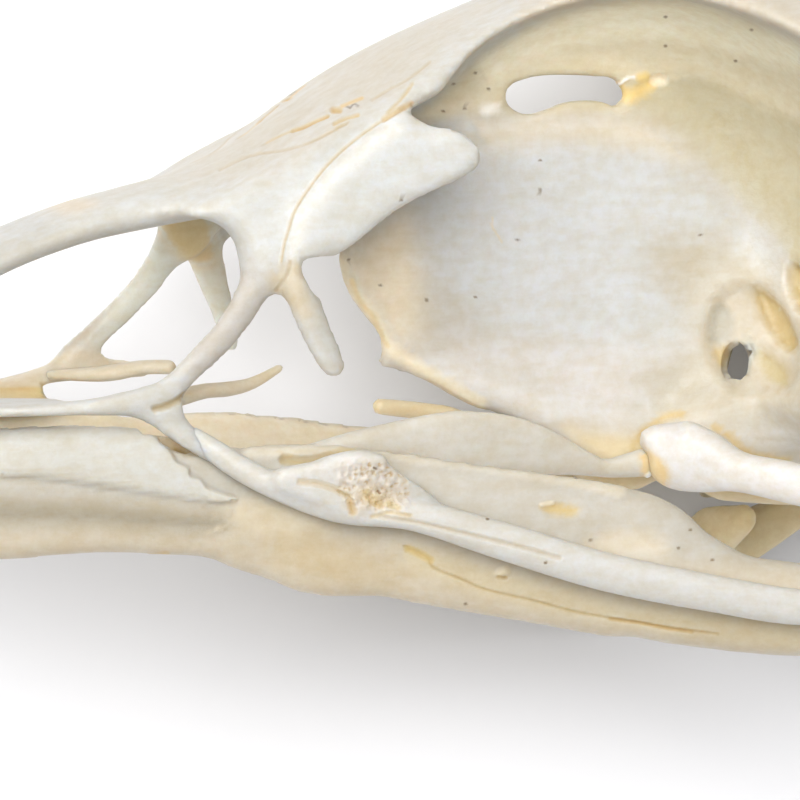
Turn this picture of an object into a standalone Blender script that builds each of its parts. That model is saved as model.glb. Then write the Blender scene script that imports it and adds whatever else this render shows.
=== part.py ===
"""Skull of a chukar partridge with its lower jaw, life size, lying on its right side.

Each bone is modelled in the skull's own frame, in millimetres: the beak points to -X, the skull's
left side faces -Y and its crown +Z, and the middle plane is Y = 0. An empty then lays the whole skull
down as it rests, and the scene is in metres with +Z up.
"""

import math

import bmesh
import bpy
from mathutils import Euler, Matrix, Vector

# Driving dimensions, in millimetres and degrees
BEAK_TIP = -26.9          # along X from the middle of the frame that the reference shows
OCCIPUT = 27.4
GAP = 0.3                 # between touching bones
SEPTUM = 0.7              # thickness of the wall between the eyes
PART_AT = 11.0            # X where the forehead meets the braincase
ORBIT_CENTRE = (6.1, 8.2, 4.8)
ORBIT_RADII = (8.2, 7.9, 9.1)
ORBIT_POWER = 3.0         # 2 is an ellipsoid, more is boxier
REST_ROLL, REST_PITCH = -85.0, 9.0      # about the skull's X and then Y, to lie on its right side
FOOT = 0.2                # depth of the small flat at each point that touches the floor

MM = 0.001
LEFT, RIGHT = -1.0, 1.0
SIDES = {"L": LEFT, "R": RIGHT}
MAXILLA_FRONT = {LEFT: 0.75, RIGHT: 0.5}  # height at which each cheek bar leaves the beak
RING = 28                 # points round the cranium
UP = Vector((0.0, 0.0, 1.0))

# Lines along the cranium as (x, value): crown, underside, half width, and height of the widest level
CROWN = [(-7.6, 8.0), (-5.2, 9.3), (-3.0, 10.6), (0.0, 12.25), (2.6, 13.35), (6.0, 14.5),
         (10.0, 15.45), (14.0, 16.0), (18.0, 15.9), (21.0, 14.9), (24.0, 12.4), (26.2, 9.0), (27.4, 6.4)]
BASE = [(-7.6, 6.7), (-6.6, 6.5), (-6.0, 6.6), (-5.4, 7.2), (-4.3, 8.5), (-3.1, 9.4), (-1.6, 10.1),
        (0.0, 10.6), (2.5, 11.1), (8.4, 11.2), (9.6, 10.2), (10.6, 7.0), (12.0, 1.0), (13.5, -1.8), (15.5, -3.2), (18.5, -3.6),
        (21.5, -3.1), (24.0, -1.2), (26.2, 1.6), (27.4, 4.6)]
HALF = [(-7.6, 2.9), (-6.0, 3.8), (-4.0, 4.4), (-2.0, 4.7), (0.0, 4.6), (2.0, 4.3), (4.0, 4.5), (6.0, 5.2),
        (8.0, 6.8), (10.0, 9.0), (11.5, 10.7), (13.0, 11.9), (15.5, 12.3), (18.5, 12.0), (21.5, 10.9),
        (24.2, 8.4), (26.2, 5.0), (27.4, 1.8)]
SIDE_ROUND = [(-7.6, 0.55), (-1.0, 0.6), (4.0, 1.0), (10.0, 1.35), (27.4, 1.35)]   # under 1 is upright, over 1 pointed
WIDEST = [(-7.6, 7.5), (-5.0, 8.1), (-3.0, 9.5), (-1.0, 10.7), (1.0, 11.6), (3.0, 12.5), (5.0, 13.1),
          (8.0, 13.3), (10.0, 12.4), (11.5, 10.6), (14.0, 8.4), (18.0, 7.4), (22.0, 6.2), (27.4, 5.4)]

# Lines along the lower jaw as (x, value): distance from the middle plane, upper edge, lower edge, thickness
JAW_OUT = [(-25.0, 0.6), (-23.5, 1.3), (-20.0, 2.5), (-16.5, 3.3), (-13.0, 3.85), (-9.5, 4.3), (-6.0, 4.8),
           (-2.5, 5.5), (1.0, 6.15), (4.5, 6.75), (8.0, 7.4), (11.5, 8.0), (14.5, 8.3), (17.5, 8.3), (20.3, 7.6)]
JAW_TOP = [(-25.0, -3.55), (-23.5, -2.5), (-21.0, -1.35), (-18.5, -0.5), (-16.0, -0.1), (-13.0, -0.05), (-10.0, -0.35),
           (-8.6, -0.7), (-4.8, -0.8), (-0.4, -1.5), (3.2, -2.1), (6.3, -2.6), (7.8, -3.8), (9.8, -4.8),
           (12.0, -5.2), (14.5, -5.9), (16.5, -5.6), (18.5, -4.8), (20.3, -3.6)]
JAW_LOW = [(-25.0, -4.0), (-23.5, -4.15), (-20.0, -4.25), (-16.0, -4.2), (-12.5, -4.2), (-9.5, -4.6), (-6.0, -5.7),
           (-2.5, -6.2), (1.0, -6.7), (4.5, -7.4), (8.0, -7.95), (11.5, -8.3), (14.5, -8.3), (17.0, -7.2),
           (19.0, -5.8), (20.3, -4.3)]
JAW_THICK = [(-25.0, 0.8), (-20.0, 1.2), (-12.0, 1.3), (0.0, 1.4), (8.0, 1.7), (14.5, 2.3), (17.5, 1.5), (20.3, 0.8)]


def along(knots, x):
    """Value at x of the smooth line through (x, value) knots."""
    x = min(max(x, knots[0][0]), knots[-1][0])
    i = next((k for k in range(len(knots) - 2) if x < knots[k + 1][0]), len(knots) - 2)
    slopes = []
    for k in (i, i + 1):
        low, high = knots[max(k - 1, 0)], knots[min(k + 1, len(knots) - 1)]
        slopes.append((high[1] - low[1]) / (high[0] - low[0]))
    (x0, v0), (x1, v1) = knots[i], knots[i + 1]
    span = x1 - x0
    t = (x - x0) / span
    return ((1 + 2 * t) * (1 - t) ** 2 * v0 + t * (1 - t) ** 2 * span * slopes[0]
            + t * t * (3 - 2 * t) * v1 + t * t * (t - 1) * span * slopes[1])


def smooth_path(stations, steps):
    """Rows of numbers between the given rows, by the same smooth line in each column."""
    rows = []
    last = len(stations) - 1
    for i in range(last * steps + 1):
        at = i / steps
        rows.append([along([(k, row[c]) for k, row in enumerate(stations)], at) for c in range(len(stations[0]))])
    return rows


# Objects and materials

def material(name, colour, roughness):
    made = bpy.data.materials.new(name)
    made.use_nodes = True
    shader = made.node_tree.nodes["Principled BSDF"]
    shader.inputs["Base Color"].default_value = (*colour, 1.0)
    shader.inputs["Roughness"].default_value = roughness
    shader.inputs["Metallic"].default_value = 0.0
    return made


def object_of(name, shape, collection):
    """A new object from a bmesh in millimetres."""
    bmesh.ops.remove_doubles(shape, verts=shape.verts, dist=1e-4)
    bmesh.ops.triangulate(shape, faces=shape.faces)
    bmesh.ops.recalc_face_normals(shape, faces=shape.faces)
    bmesh.ops.scale(shape, vec=(MM, MM, MM), verts=shape.verts)
    mesh = bpy.data.meshes.new(name)
    shape.to_mesh(mesh)
    shape.free()
    made = bpy.data.objects.new(name, mesh)
    collection.objects.link(made)
    return made


def boolean(target, operand, operation, solver="EXACT"):
    """One applied Boolean: the operand is an object or a collection."""
    modifier = target.modifiers.new(operation.title(), "BOOLEAN")
    modifier.operation = operation
    modifier.solver = solver
    if isinstance(operand, bpy.types.Collection):
        modifier.operand_type = "COLLECTION"
        modifier.collection = operand
    else:
        modifier.object = operand
    bpy.context.view_layer.update()
    graph = bpy.context.evaluated_depsgraph_get()
    result = bpy.data.meshes.new_from_object(target.evaluated_get(graph))
    target.modifiers.clear()
    target.data = result


def discard(objects):
    for item in list(objects):
        bpy.data.objects.remove(item, do_unlink=True)


def keep_largest(target):
    """Leaves only the largest closed surface, so that a loose scrap or a sealed hollow goes."""
    shape = bmesh.new()
    shape.from_mesh(target.data)
    left, groups = set(shape.verts), []
    while left:
        group, edge = set(), [left.pop()]
        while edge:
            vert = edge.pop()
            group.add(vert)
            for other in (e.other_vert(vert) for e in vert.link_edges):
                if other in left:
                    left.discard(other)
                    edge.append(other)
        groups.append(group)
    groups.sort(key=len)
    loose = [vert for group in groups[:-1] for vert in group]
    bmesh.ops.delete(shape, geom=loose, context="VERTS")
    bmesh.ops.triangulate(shape, faces=shape.faces)
    shape.to_mesh(target.data)
    shape.free()


# Shapes

def ring_loft(rings):
    """A closed bmesh through rings of the same number of points, capped at both ends."""
    shape = bmesh.new()
    rows = [[shape.verts.new(point) for point in ring] for ring in rings]
    count = len(rows[0])
    for near, far in zip(rows, rows[1:]):
        for i in range(count):
            shape.faces.new((near[i], near[(i + 1) % count], far[(i + 1) % count], far[i]))
    shape.faces.new(rows[0])
    shape.faces.new(rows[-1])
    return shape


def bone(stations, steps=2, sides=10, up=UP, square=2.4):
    """A bar through (x, y, z, width, height) stations. Height lies near the up direction."""
    rows = smooth_path(stations, steps)
    rings = []
    for i, (x, y, z, width, height) in enumerate(rows):
        before, after = rows[max(i - 1, 0)], rows[min(i + 1, len(rows) - 1)]
        run = Vector(after[:3]) - Vector(before[:3])
        side = run.cross(up).normalized()
        rise = side.cross(run).normalized()
        ring = []
        for k in range(sides):
            turn = 2 * math.pi * (k + 0.5) / sides
            c, s = math.cos(turn), math.sin(turn)
            c, s = (math.copysign(abs(v) ** (2 / square), v) for v in (c, s))
            ring.append(Vector((x, y, z)) + side * c * width / 2 + rise * s * height / 2)
        rings.append(ring)
    return ring_loft(rings)


def ellipsoid(centre, radii, power=2.0, segments=16, turn=(0.0, 0.0, 0.0)):
    shape = bmesh.new()
    bmesh.ops.create_uvsphere(shape, u_segments=segments, v_segments=segments // 2, radius=1.0)
    for vert in shape.verts:
        size = sum(abs(c) ** power for c in vert.co) ** (-1 / power)
        vert.co = Vector([c * size * r for c, r in zip(vert.co, radii)])
    place = Matrix.Translation(centre) @ Euler([math.radians(a) for a in turn]).to_matrix().to_4x4()
    bmesh.ops.transform(shape, matrix=place, verts=shape.verts)
    return shape


def slab(low, high):
    """A box between two corners."""
    shape = bmesh.new()
    bmesh.ops.create_cube(shape, size=1.0)
    middle = [(a + b) / 2 for a, b in zip(low, high)]
    size = [b - a for a, b in zip(low, high)]
    bmesh.ops.transform(shape, matrix=Matrix.Translation(middle) @ Matrix.Diagonal((*size, 1.0)), verts=shape.verts)
    return shape


def flat_plate(outline, holes, thickness, y):
    """A plate across the Y axis from smooth closed lines of (x, z) points."""
    data = bpy.data.curves.new("plate", "CURVE")
    data.dimensions = "2D"
    data.fill_mode = "BOTH"
    data.extrude = thickness / 2 * MM
    data.resolution_u = 3
    for points in [outline, *holes]:
        spline = data.splines.new("BEZIER")
        spline.bezier_points.add(len(points) - 1)
        for knot, (x, z) in zip(spline.bezier_points, points):
            knot.co = (x * MM, z * MM, 0.0)
            knot.handle_left_type = knot.handle_right_type = "AUTO"
        spline.use_cyclic_u = True
    drawn = bpy.data.objects.new("plate", data)
    cutters.objects.link(drawn)
    bpy.context.view_layer.update()
    mesh = bpy.data.meshes.new_from_object(drawn.evaluated_get(bpy.context.evaluated_depsgraph_get()))
    bpy.data.objects.remove(drawn, do_unlink=True)
    shape = bmesh.new()
    shape.from_mesh(mesh)
    bpy.data.meshes.remove(mesh)
    stand = Matrix.Translation((0.0, y, 0.0)) @ Matrix.Rotation(math.radians(90), 4, "X") @ Matrix.Scale(1 / MM, 4)
    bmesh.ops.transform(shape, matrix=stand, verts=shape.verts)
    return shape


def fuse(name, shapes, cuts=()):
    """One object from overlapping shapes, less the cutting shapes."""
    first, *others = shapes
    made = object_of(name, first, skull)
    if others:
        heap = bpy.data.collections.new(name + " pieces")
        bpy.context.scene.collection.children.link(heap)
        for other in others:
            object_of(name + " piece", other, heap)
        boolean(made, heap, "UNION")
        discard(heap.objects)
        bpy.data.collections.remove(heap)
    for cut in cuts:
        cutter = object_of(name + " cutter", cut, cutters)
        boolean(made, cutter, "DIFFERENCE")
        discard([cutter])
    keep_largest(made)
    return made


def finish(made, look):
    made.data.materials.clear()
    made.data.materials.append(look)
    made.data.shade_smooth()
    made.data.set_sharp_from_angle(angle=math.radians(40))
    made.parent = rest


# The cranium: braincase and forehead are one form, parted across at PART_AT

def cranium_ring(x):
    top, low, half, wide = (along(line, x) for line in (CROWN, BASE, HALF, WIDEST))
    ring = []
    for i in range(RING):
        turn = 2 * math.pi * (i + 0.5) / RING
        c, s = math.cos(turn), math.sin(turn)
        reach, lift = (0.85, top - wide) if s > 0 else (along(SIDE_ROUND, x), wide - low)
        ring.append((x, half * math.copysign(abs(c) ** reach, c), wide + lift * s))
    return ring


def cranium_loft(x0, x1, step):
    count = max(2, round((x1 - x0) / step))
    return ring_loft([cranium_ring(x0 + (x1 - x0) * i / count) for i in range(count + 1)])


def orbits():
    x, y, z = ORBIT_CENTRE
    return [ellipsoid((x, side * y, z), ORBIT_RADII, ORBIT_POWER, 28) for side in SIDES.values()]


def build_forehead():
    """Frontal bones with the roof of both orbits."""
    return fuse("forehead", [cranium_loft(CROWN[0][0], PART_AT - GAP / 2, 1.0)], orbits())


def build_braincase():
    domes = [cranium_loft(PART_AT + GAP / 2, OCCIPUT, 1.1)]
    domes.append(ellipsoid((24.9, 0.0, 4.2), (2.6, 2.4, 4.6)))                       # over the cerebellum
    domes.append(ellipsoid((23.4, 0.0, -2.7), (1.3, 1.05, 0.9)))                     # occipital condyle
    domes.append(bone([(11.15, 0, -3.0, 1.9, 1.9), (14, 0, -3.3, 3.0, 1.9), (18, 0, -3.6, 6.5, 1.6),
                       (21.5, 0, -3.3, 7.0, 1.2), (23, 0, -2.4, 4.0, 1.0)]))         # basal plate
    for side in SIDES.values():
        domes.append(bone([(14.8, side * 10.2, 9.4, 2.8, 4.0), (13.5, side * 11.4, 6.6, 2.0, 3.0),
                           (12.5, side * 11.7, 4.2, 1.2, 2.0), (11.7, side * 11.3, 2.1, 0.9, 1.2),
                           (11.1, side * 10.8, 0.7, 0.6, 0.7)],
                          up=Vector((1, 0, 0))))                                     # postorbital process
        domes.append(bone([(18.6, side * 10.2, 6.0, 2.6, 3.2), (16.2, side * 11.3, 3.6, 1.5, 2.2),
                           (14.0, side * 11.4, 2.0, 1.0, 1.3), (11.8, side * 11.2, 1.3, 0.8, 0.8)]))  # zygomatic
        domes.append(ellipsoid((20.3, side * 7.6, 0.2), (1.4, 2.9, 2.8), turn=(side * 30, 0, side * 12)))   # ear wing
    hollows = orbits()
    hollows.append(ellipsoid((25.6, 0.0, -0.6), (2.3, 2.3, 2.1), turn=(0, 25, 0)))   # foramen magnum
    for side in SIDES.values():
        hollows.append(ellipsoid((17.2, side * 10.4, -0.4), (2.3, 3.4, 2.5)))        # ear cavity
        hollows.append(ellipsoid((16.1, side * 9.0, 0.6), (1.5, 1.6, 1.7)))          # seat of the quadrate
    return fuse("braincase", domes, hollows)


def build_septum():
    """Wall between the orbits, with the opening under the roof and the keel below."""
    front = [(-2.1, 8.7), (-2.25, 6.6), (-2.05, 4.6), (-1.6, 3.4), (-0.8, 2.3), (-0.75, 1.5)]
    keel = [(1.0, 0.6), (4.5, -0.7), (7.5, -2.0), (PART_AT - GAP / 2 - 0.1, -2.9)]
    back = [(PART_AT - GAP / 2, 0.5), (PART_AT - GAP / 2, 2.6), (PART_AT - GAP / 2, 4.6)]
    roof = [(x, min(along(BASE, x - 1.2 * GAP), along(BASE, x + 1.2 * GAP)) - 1.3 * GAP)
            for x in (10.1, 9.4, 8.0, 5.5, 3.0, 1.2, -0.5)]
    hole = [(3.9, 10.3), (4.7, 10.7), (6.2, 10.75), (7.9, 10.5), (8.0, 9.9), (6.6, 9.85), (5.0, 9.65)]
    plate = flat_plate(front + keel + back + roof, [hole], SEPTUM, 0.0)
    edge = PART_AT - GAP / 2
    rostrum = bone([(-0.7, 0, 1.7, 0.9, 0.9), (1.0, 0, 0.9, 1.3, 1.2), (4.5, 0, -0.5, 1.6, 1.5),
                    (7.5, 0, -1.7, 1.8, 1.8), (edge, 0, -2.7, 2.0, 2.0)])
    rim = bone([(-2.0, 0, 8.2, 0.9, 0.9), (-2.1, 0, 5.0, 1.1, 0.9), (-1.4, 0, 3.2, 1.1, 0.9), (-0.6, 0, 1.9, 1.0, 0.9)],
               up=Vector((1, 0, 0)))
    wedge = bone([(8.6, 0, 2.0, 0.7, 4.0), (9.6, 0, 1.9, 1.1, 5.6), (edge, 0, 1.6, 2.0, 6.2)])
    made = fuse("interorbital_septum", [plate, rostrum, rim, wedge],
                [slab((edge, -4, -8), (edge + 3, 4, 14))])
    return made


# The beak

def build_premaxilla():
    """Tip of the upper beak and the bar over the nostrils, back to the forehead."""
    tip = bone([(BEAK_TIP, 0, -4.0, 0.5, 0.6), (-26.3, 0, -3.2, 1.2, 1.5), (-25.0, 0, -1.9, 2.8, 2.1),
                (-23.0, 0, -0.1, 4.8, 2.6), (-21.0, 0, 1.0, 6.3, 2.9), (-19.4, 0, 1.6, 7.3, 2.8),
                (-18.4, 0, 1.7, 7.4, 1.9)], sides=16, square=2.3)
    bar = bone([(-25.6, 0, -2.1, 1.0, 1.4), (-23.6, 0, 0.0, 2.0, 1.9), (-21.4, 0, 1.75, 3.0, 2.0), (-19.6, 0, 3.05, 3.7, 1.8),
                (-17.4, 0, 4.3, 4.1, 1.4), (-14.8, 0, 5.55, 4.2, 1.2), (-12.0, 0, 6.5, 4.2, 1.3),
                (-9.6, 0, 7.0, 4.6, 1.4), (-7.6 - GAP, 0, 7.4, 5.4, 1.5)], sides=14)
    roots = [bone([(-20.6, side * 2.9, 0.7, 1.6, 1.4), (-18.9, side * 3.95, 0.8, 1.5, 0.9),
                   (-17.95, side * 4.25, MAXILLA_FRONT[side], 1.4, 0.7)]) for side in SIDES.values()]
    hinge = slab((-7.6 - GAP, -5, 5), (-6, 5, 10))
    return fuse("premaxilla", [tip, bar, *roots], [hinge])


def build_nasal(tag, side):
    """Curved strut from the forehead down to the cheek, behind the nostril."""
    lean = -0.45 if side == RIGHT else 0.0
    strut = bone([(-6.2, side * 3.3, 6.9, 0.9, 2.7), (-6.4, side * 3.5, 6.2, 0.9, 2.1), (-6.6 + lean / 2, side * 3.8, 5.5, 0.85, 1.4),
                  (-6.75 + lean, side * 4.05, 4.8, 0.8, 1.1), (-7.3 + lean, side * 4.35, 3.9, 0.75, 1.0),
                  (-8.3 + lean, side * 4.6, 2.8, 0.75, 0.9), (-9.4 + lean, side * 4.75, 1.9, 0.75, 0.85),
                  (-10.2 + lean, side * 4.8, 1.3, 0.8, 0.9)], up=Vector((1, 0, 0)))
    ceiling = slab((-12, -8, 6.5), (-2, 8, 9))
    floor = slab((-13, -8, 0), (-7, 8, 1.3 + GAP))
    return fuse("nasal_" + tag, [strut], [ceiling, floor])


def build_maxilla(tag, side):
    """Flat bar of the cheek with its palate shelf. The right one runs on to its broken end."""
    end = -10.35 if side == LEFT else -7.0
    front = MAXILLA_FRONT[side]
    bar = [(-17.35, side * 4.3, front, 1.4, 0.5), (-15.0, side * 4.6, front, 1.3, 0.5)]
    if side == LEFT:
        bar += [(-12.5, side * 4.8, 0.8, 1.2, 0.6), (-11.2, side * 4.85, 0.9, 1.1, 0.8), (end, side * 4.9, 0.8, 1.0, 1.0)]
    else:
        bar += [(-13.0, side * 4.75, 0.5, 1.2, 0.55), (-11.3, side * 4.85, 0.8, 1.1, 0.65), (-10.0, side * 4.9, 0.9, 1.1, 0.7),
                (-8.4, side * 4.95, 0.9, 1.0, 0.7), (end, side * 5.0, 0.8, 0.7, 0.5)]
    shelf = bone([(-17.35, side * 2.9, front, 3.0, 0.5), (-15.5, side * 3.2, front, 2.8, 0.5),
                  (-13.4, side * 3.9, front, 1.6, 0.5)])
    return fuse("maxilla_" + tag, [bone(bar), shelf])


def build_lacrimal(tag, side):
    """Plate at the front of the orbit, with its slender process pointing down."""
    outline = [(-5.35, 5.75), (-5.25, 7.3), (-4.3, 8.75), (-3.2, 9.7), (-1.8, 10.45), (-0.5, 10.3), (0.35, 9.7),
               (0.45, 8.9), (-0.7, 8.2), (-2.3, 7.1), (-3.9, 5.8), (-4.8, 5.45)]
    plate = flat_plate(outline, [], 0.9, 0.0)
    for vert in plate.verts:
        x, y, z = vert.co
        vert.co.y = side * (5.3 + 0.13 * (x + 2.5) + 0.05 * (z - 8)) + y
    if side == LEFT:
        prong = [(-5.2, side * 5.0, 6.3, 0.8, 1.2), (-5.6, side * 5.05, 5.2, 0.7, 0.8), (-5.5, side * 5.1, 4.2, 0.6, 0.7),
                 (-5.0, side * 5.15, 3.1, 0.6, 0.65), (-4.3, side * 5.2, 1.75, 0.5, 0.5)]
    else:
        prong = [(-5.1, side * 5.0, 6.3, 0.8, 1.5), (-5.35, side * 5.0, 5.0, 0.7, 1.25), (-5.2, side * 5.0, 4.0, 0.6, 1.0),
                 (-4.75, side * 5.0, 2.9, 0.55, 0.7), (-4.35, side * 5.0, 1.2, 0.5, 0.5)]
    process = bone(prong, up=Vector((1, 0, 0)))
    return fuse("lacrimal_" + tag, [plate, process])


def build_jugal(tag, side):
    """Slender bar from the cheek to the quadrate, with the knot of a healed break."""
    bar = bone([(-10.05, side * 5.05, 0.1, 0.8, 0.8), (-9.3, side * 5.5, -0.5, 0.75, 0.9), (-7.3, side * 6.05, -1.75, 0.8, 0.9),
                (-4.9, side * 6.75, -2.75, 0.85, 0.9), (-2.4, side * 7.45, -3.0, 0.9, 1.1), (0.6, side * 8.1, -3.95, 0.9, 1.3),
                (4.0, side * 8.8, -5.05, 0.9, 1.35), (7.5, side * 9.5, -5.85, 0.9, 1.3), (10.9, side * 10.1, -6.45, 0.9, 1.25),
                (13.3, side * 10.4, -6.1, 1.0, 1.0)])
    knot = ellipsoid((-3.6, side * 7.3, -2.3), (1.4, 0.6, 1.05), turn=(0, 20, 0))
    ridge = bone([(-6.0, side * 6.5, -1.4, 0.5, 0.5), (-4.6, side * 6.95, -1.4, 0.6, 0.7), (-3.4, side * 7.25, -1.7, 0.7, 0.8)])
    return fuse("jugal_bar_" + tag, [bar, knot, ridge])


# Jaw joint and palate

def build_quadrate(tag, side):
    body = bone([(16.1, side * 9.1, 1.2, 1.8, 1.6), (15.4, side * 8.7, -0.8, 1.6, 1.7), (14.9, side * 8.6, -2.8, 2.2, 2.4),
                 (14.7, side * 8.4, -4.5, 3.4, 2.4), (14.6, side * 8.3, -5.0, 2.6, 1.8)], up=Vector((1, 0, 0)))
    reach = bone([(15.2, side * 8.4, -1.6, 1.2, 2.0), (13.4, side * 6.9, -1.1, 0.9, 1.6), (11.6, side * 5.2, -0.6, 0.6, 0.9)])
    cheek = bone([(14.7, side * 8.8, -4.7, 1.4, 1.4), (14.3, side * 10.3, -5.3, 1.2, 1.2)], up=Vector((1, 0, 0)))
    return fuse("quadrate_" + tag, [body, reach, cheek])


def build_pterygoid(tag, side):
    rod = bone([(8.1, side * 2.3, -2.3, 0.9, 1.0), (9.2, side * 2.5, -1.8, 1.3, 1.7), (10.4, side * 3.2, -1.9, 1.2, 1.6),
                (11.8, side * 4.6, -2.5, 1.0, 1.3), (13.55, side * 6.6, -3.2, 1.0, 1.2)])
    return fuse("pterygoid_" + tag, [rod])


def build_palatine(tag, side):
    front = [(-12.6, side * 2.2, -0.4, 1.2, 0.5), (-9.0, side * 2.4, -1.2, 1.1, 0.5), (-5.5, side * 2.7, -1.5, 0.9, 0.6),
             (-2.7, side * 3.0, -1.05, 0.7, 0.9)]
    lamella = [(0.3, side * 3.0, -1.1, 0.7, 2.0), (3.0, side * 2.8, -1.4, 0.7, 2.1),
               (5.2, side * 2.6, -1.9, 0.7, 1.5), (6.6, side * 2.4, -2.3, 0.8, 0.8), (7.5, side * 2.3, -2.4, 0.8, 0.8)]
    return fuse("palatine_" + tag, [bone(lamella if side == RIGHT else front + lamella)])


def build_vomer():
    rod = bone([(-1.0, 0, -0.15, 0.6, 0.7), (1.2, 0, -0.65, 0.7, 0.7), (4.5, 0, -2.0, 0.7, 0.6), (6.5, 0, -3.2, 0.5, 0.5)])
    return fuse("vomer", [rod])


def build_maxillopalatine(tag, side):
    """Splinter that reaches back from the cheek. The right one is snapped short."""
    stations = [(-9.6, side * 3.4, 0.75, 1.1, 0.55), (-8.3, side * 3.0, 0.95, 0.8, 0.5), (-7.2, side * 2.6, 0.95, 0.6, 0.5)]
    if side == LEFT:
        stations += [(-6.2, side * 2.3, 1.1, 0.45, 0.4), (-5.0, side * 2.0, 1.6, 0.25, 0.25)]
    return fuse("maxillopalatine_" + tag, [bone(stations)])


# The lower jaw

def jaw_stations(x0, x1, step):
    count = round((x1 - x0) / step)
    rows = []
    for i in range(count + 1):
        x = x0 + (x1 - x0) * i / count
        out, top, low, thick = (along(line, x) for line in (JAW_OUT, JAW_TOP, JAW_LOW, JAW_THICK))
        rows.append((x, out, (top + low) / 2, thick, top - low))
    return rows


def build_mandible(tag, side):
    """One half of the lower jaw, with the dentary's plate on its flank and both rear processes."""
    rows = [(x, side * out, z, thick, height) for x, out, z, thick, height in jaw_stations(JAW_OUT[0][0], JAW_OUT[-1][0], 1.4)]
    ramus = bone(rows, steps=1, square=2.6)
    floor = bone([(-24.9, side * 0.6, -3.75, 1.2, 0.4), (-23.5, side * 0.8, -3.85, 2.2, 0.6), (-21.5, side * 1.2, -3.9, 3.0, 0.7),
                  (-19.8, side * 1.6, -3.9, 3.2, 0.6)])
    level = -1.05 if side == LEFT else -1.25
    plate = bone([(-22.0, side * 2.45, -1.9, 0.9, 1.6), (-18.0, side * 3.55, level, 0.9, 2.1), (-14.0, side * 4.25, level, 0.9, 2.1),
                  (-11.0, side * 4.6, -1.4, 0.8, 1.5), (-8.6, side * 4.95, -2.35, 0.6, 0.5)])
    inner = bone([(14.6, side * 7.9, -6.4, 2.2, 1.8), (14.9, side * 6.4, -5.9, 1.7, 1.4), (15.4, side * 4.8, -5.2, 0.8, 0.7)],
                 up=Vector((1, 0, 0)))
    middle = slab((-30, -GAP / 2, -8), (-15, GAP / 2, 4))
    beyond = slab((-30, 0, -8), (-15, -side * 4, 4)) if side < 0 else slab((-30, -4, -8), (-15, 0, 4))
    return fuse("mandible_" + tag, [ramus, floor, plate, inner], [middle, beyond])


def build_all():
    built = [build_forehead(), build_braincase(), build_septum(), build_premaxilla(), build_vomer(), build_jugal("L", LEFT)]
    for tag, side in SIDES.items():
        for build in (build_nasal, build_maxilla, build_lacrimal, build_quadrate, build_pterygoid,
                      build_palatine, build_maxillopalatine, build_mandible):
            built.append(build(tag, side))
    return built


def lay_down(bones):
    """Sets the skull on the floor, centred over the origin, and flattens the points that touch."""
    bpy.context.view_layer.update()
    corners = [item.matrix_world @ vert.co for item in bones for vert in item.data.vertices]
    low, high = ([pick(corner[k] for corner in corners) for k in range(3)] for pick in (min, max))
    rest.location = (-(low[0] + high[0]) / 2, -(low[1] + high[1]) / 2, -low[2] - FOOT * MM)
    floor = object_of("floor cutter", slab((-60, -60, -10), (60, 60, 0)), cutters)
    for item in bones:
        if min((item.matrix_world @ vert.co).z for vert in item.data.vertices) + rest.location.z < 0:
            boolean(item, floor, "DIFFERENCE")
            keep_largest(item)
    discard([floor])


for item in list(bpy.data.objects):
    bpy.data.objects.remove(item, do_unlink=True)
skull = bpy.data.collections.new("Chukar skull")
cutters = bpy.data.collections.new("Cutters")
for group in (skull, cutters):
    bpy.context.scene.collection.children.link(group)
cutters.hide_render = True

rest = bpy.data.objects.new("rest pose", None)
skull.objects.link(rest)
rest.rotation_euler = [math.radians(a) for a in (REST_ROLL, REST_PITCH, 0.0)]

ivory = material("ivory bone", (0.80, 0.76, 0.66), 0.5)
cream = material("cream bone", (0.72, 0.64, 0.47), 0.5)
CREAM_BONES = ("braincase", "quadrate", "pterygoid", "vomer", "mandible")
bones = build_all()
for bone_object in bones:
    finish(bone_object, cream if bone_object.name.startswith(CREAM_BONES) else ivory)
lay_down(bones)
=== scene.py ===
"""Chukar partridge skull, cleaned and dry, lying on its right side and seen from above its left side.

Bones are modelled in the skull's own frame in millimetres, beak to -X, left side to -Y, crown to +Z and
middle plane at Y = 0, and each finished piece is then laid down with the CAD skull.
"""

import math
import random

import bpy
import numpy as np
from mathutils import Euler, Matrix, Vector, noise


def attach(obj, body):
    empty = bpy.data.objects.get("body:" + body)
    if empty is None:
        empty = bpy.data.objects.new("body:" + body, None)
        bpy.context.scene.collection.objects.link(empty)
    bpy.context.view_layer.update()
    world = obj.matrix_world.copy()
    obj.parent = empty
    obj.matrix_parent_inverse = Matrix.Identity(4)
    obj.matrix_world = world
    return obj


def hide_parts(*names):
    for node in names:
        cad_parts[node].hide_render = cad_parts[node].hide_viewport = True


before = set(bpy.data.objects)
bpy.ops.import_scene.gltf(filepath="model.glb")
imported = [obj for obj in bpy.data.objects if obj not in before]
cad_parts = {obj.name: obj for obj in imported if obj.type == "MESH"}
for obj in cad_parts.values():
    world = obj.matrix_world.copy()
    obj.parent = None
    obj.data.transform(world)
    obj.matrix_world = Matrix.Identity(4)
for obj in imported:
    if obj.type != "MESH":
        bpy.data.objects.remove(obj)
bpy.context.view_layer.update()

MM = 0.001
LEFT, RIGHT = -1.0, 1.0
SIDES = {"left": LEFT, "right": RIGHT}
CROWNWARD = (0.0, 0.0, 1.0)
BACKWARD = (1.0, 0.0, 0.0)

# How the skull lies: the same turn and place as the CAD skull
LIE_TURN = Euler((math.radians(-85.0), math.radians(9.0), 0.0)).to_matrix()
LIE_PLACE = Vector((-0.0002735527, -0.0035192808, 0.0138872340))
LIE = Matrix.Translation(LIE_PLACE) @ LIE_TURN.to_4x4()

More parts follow.
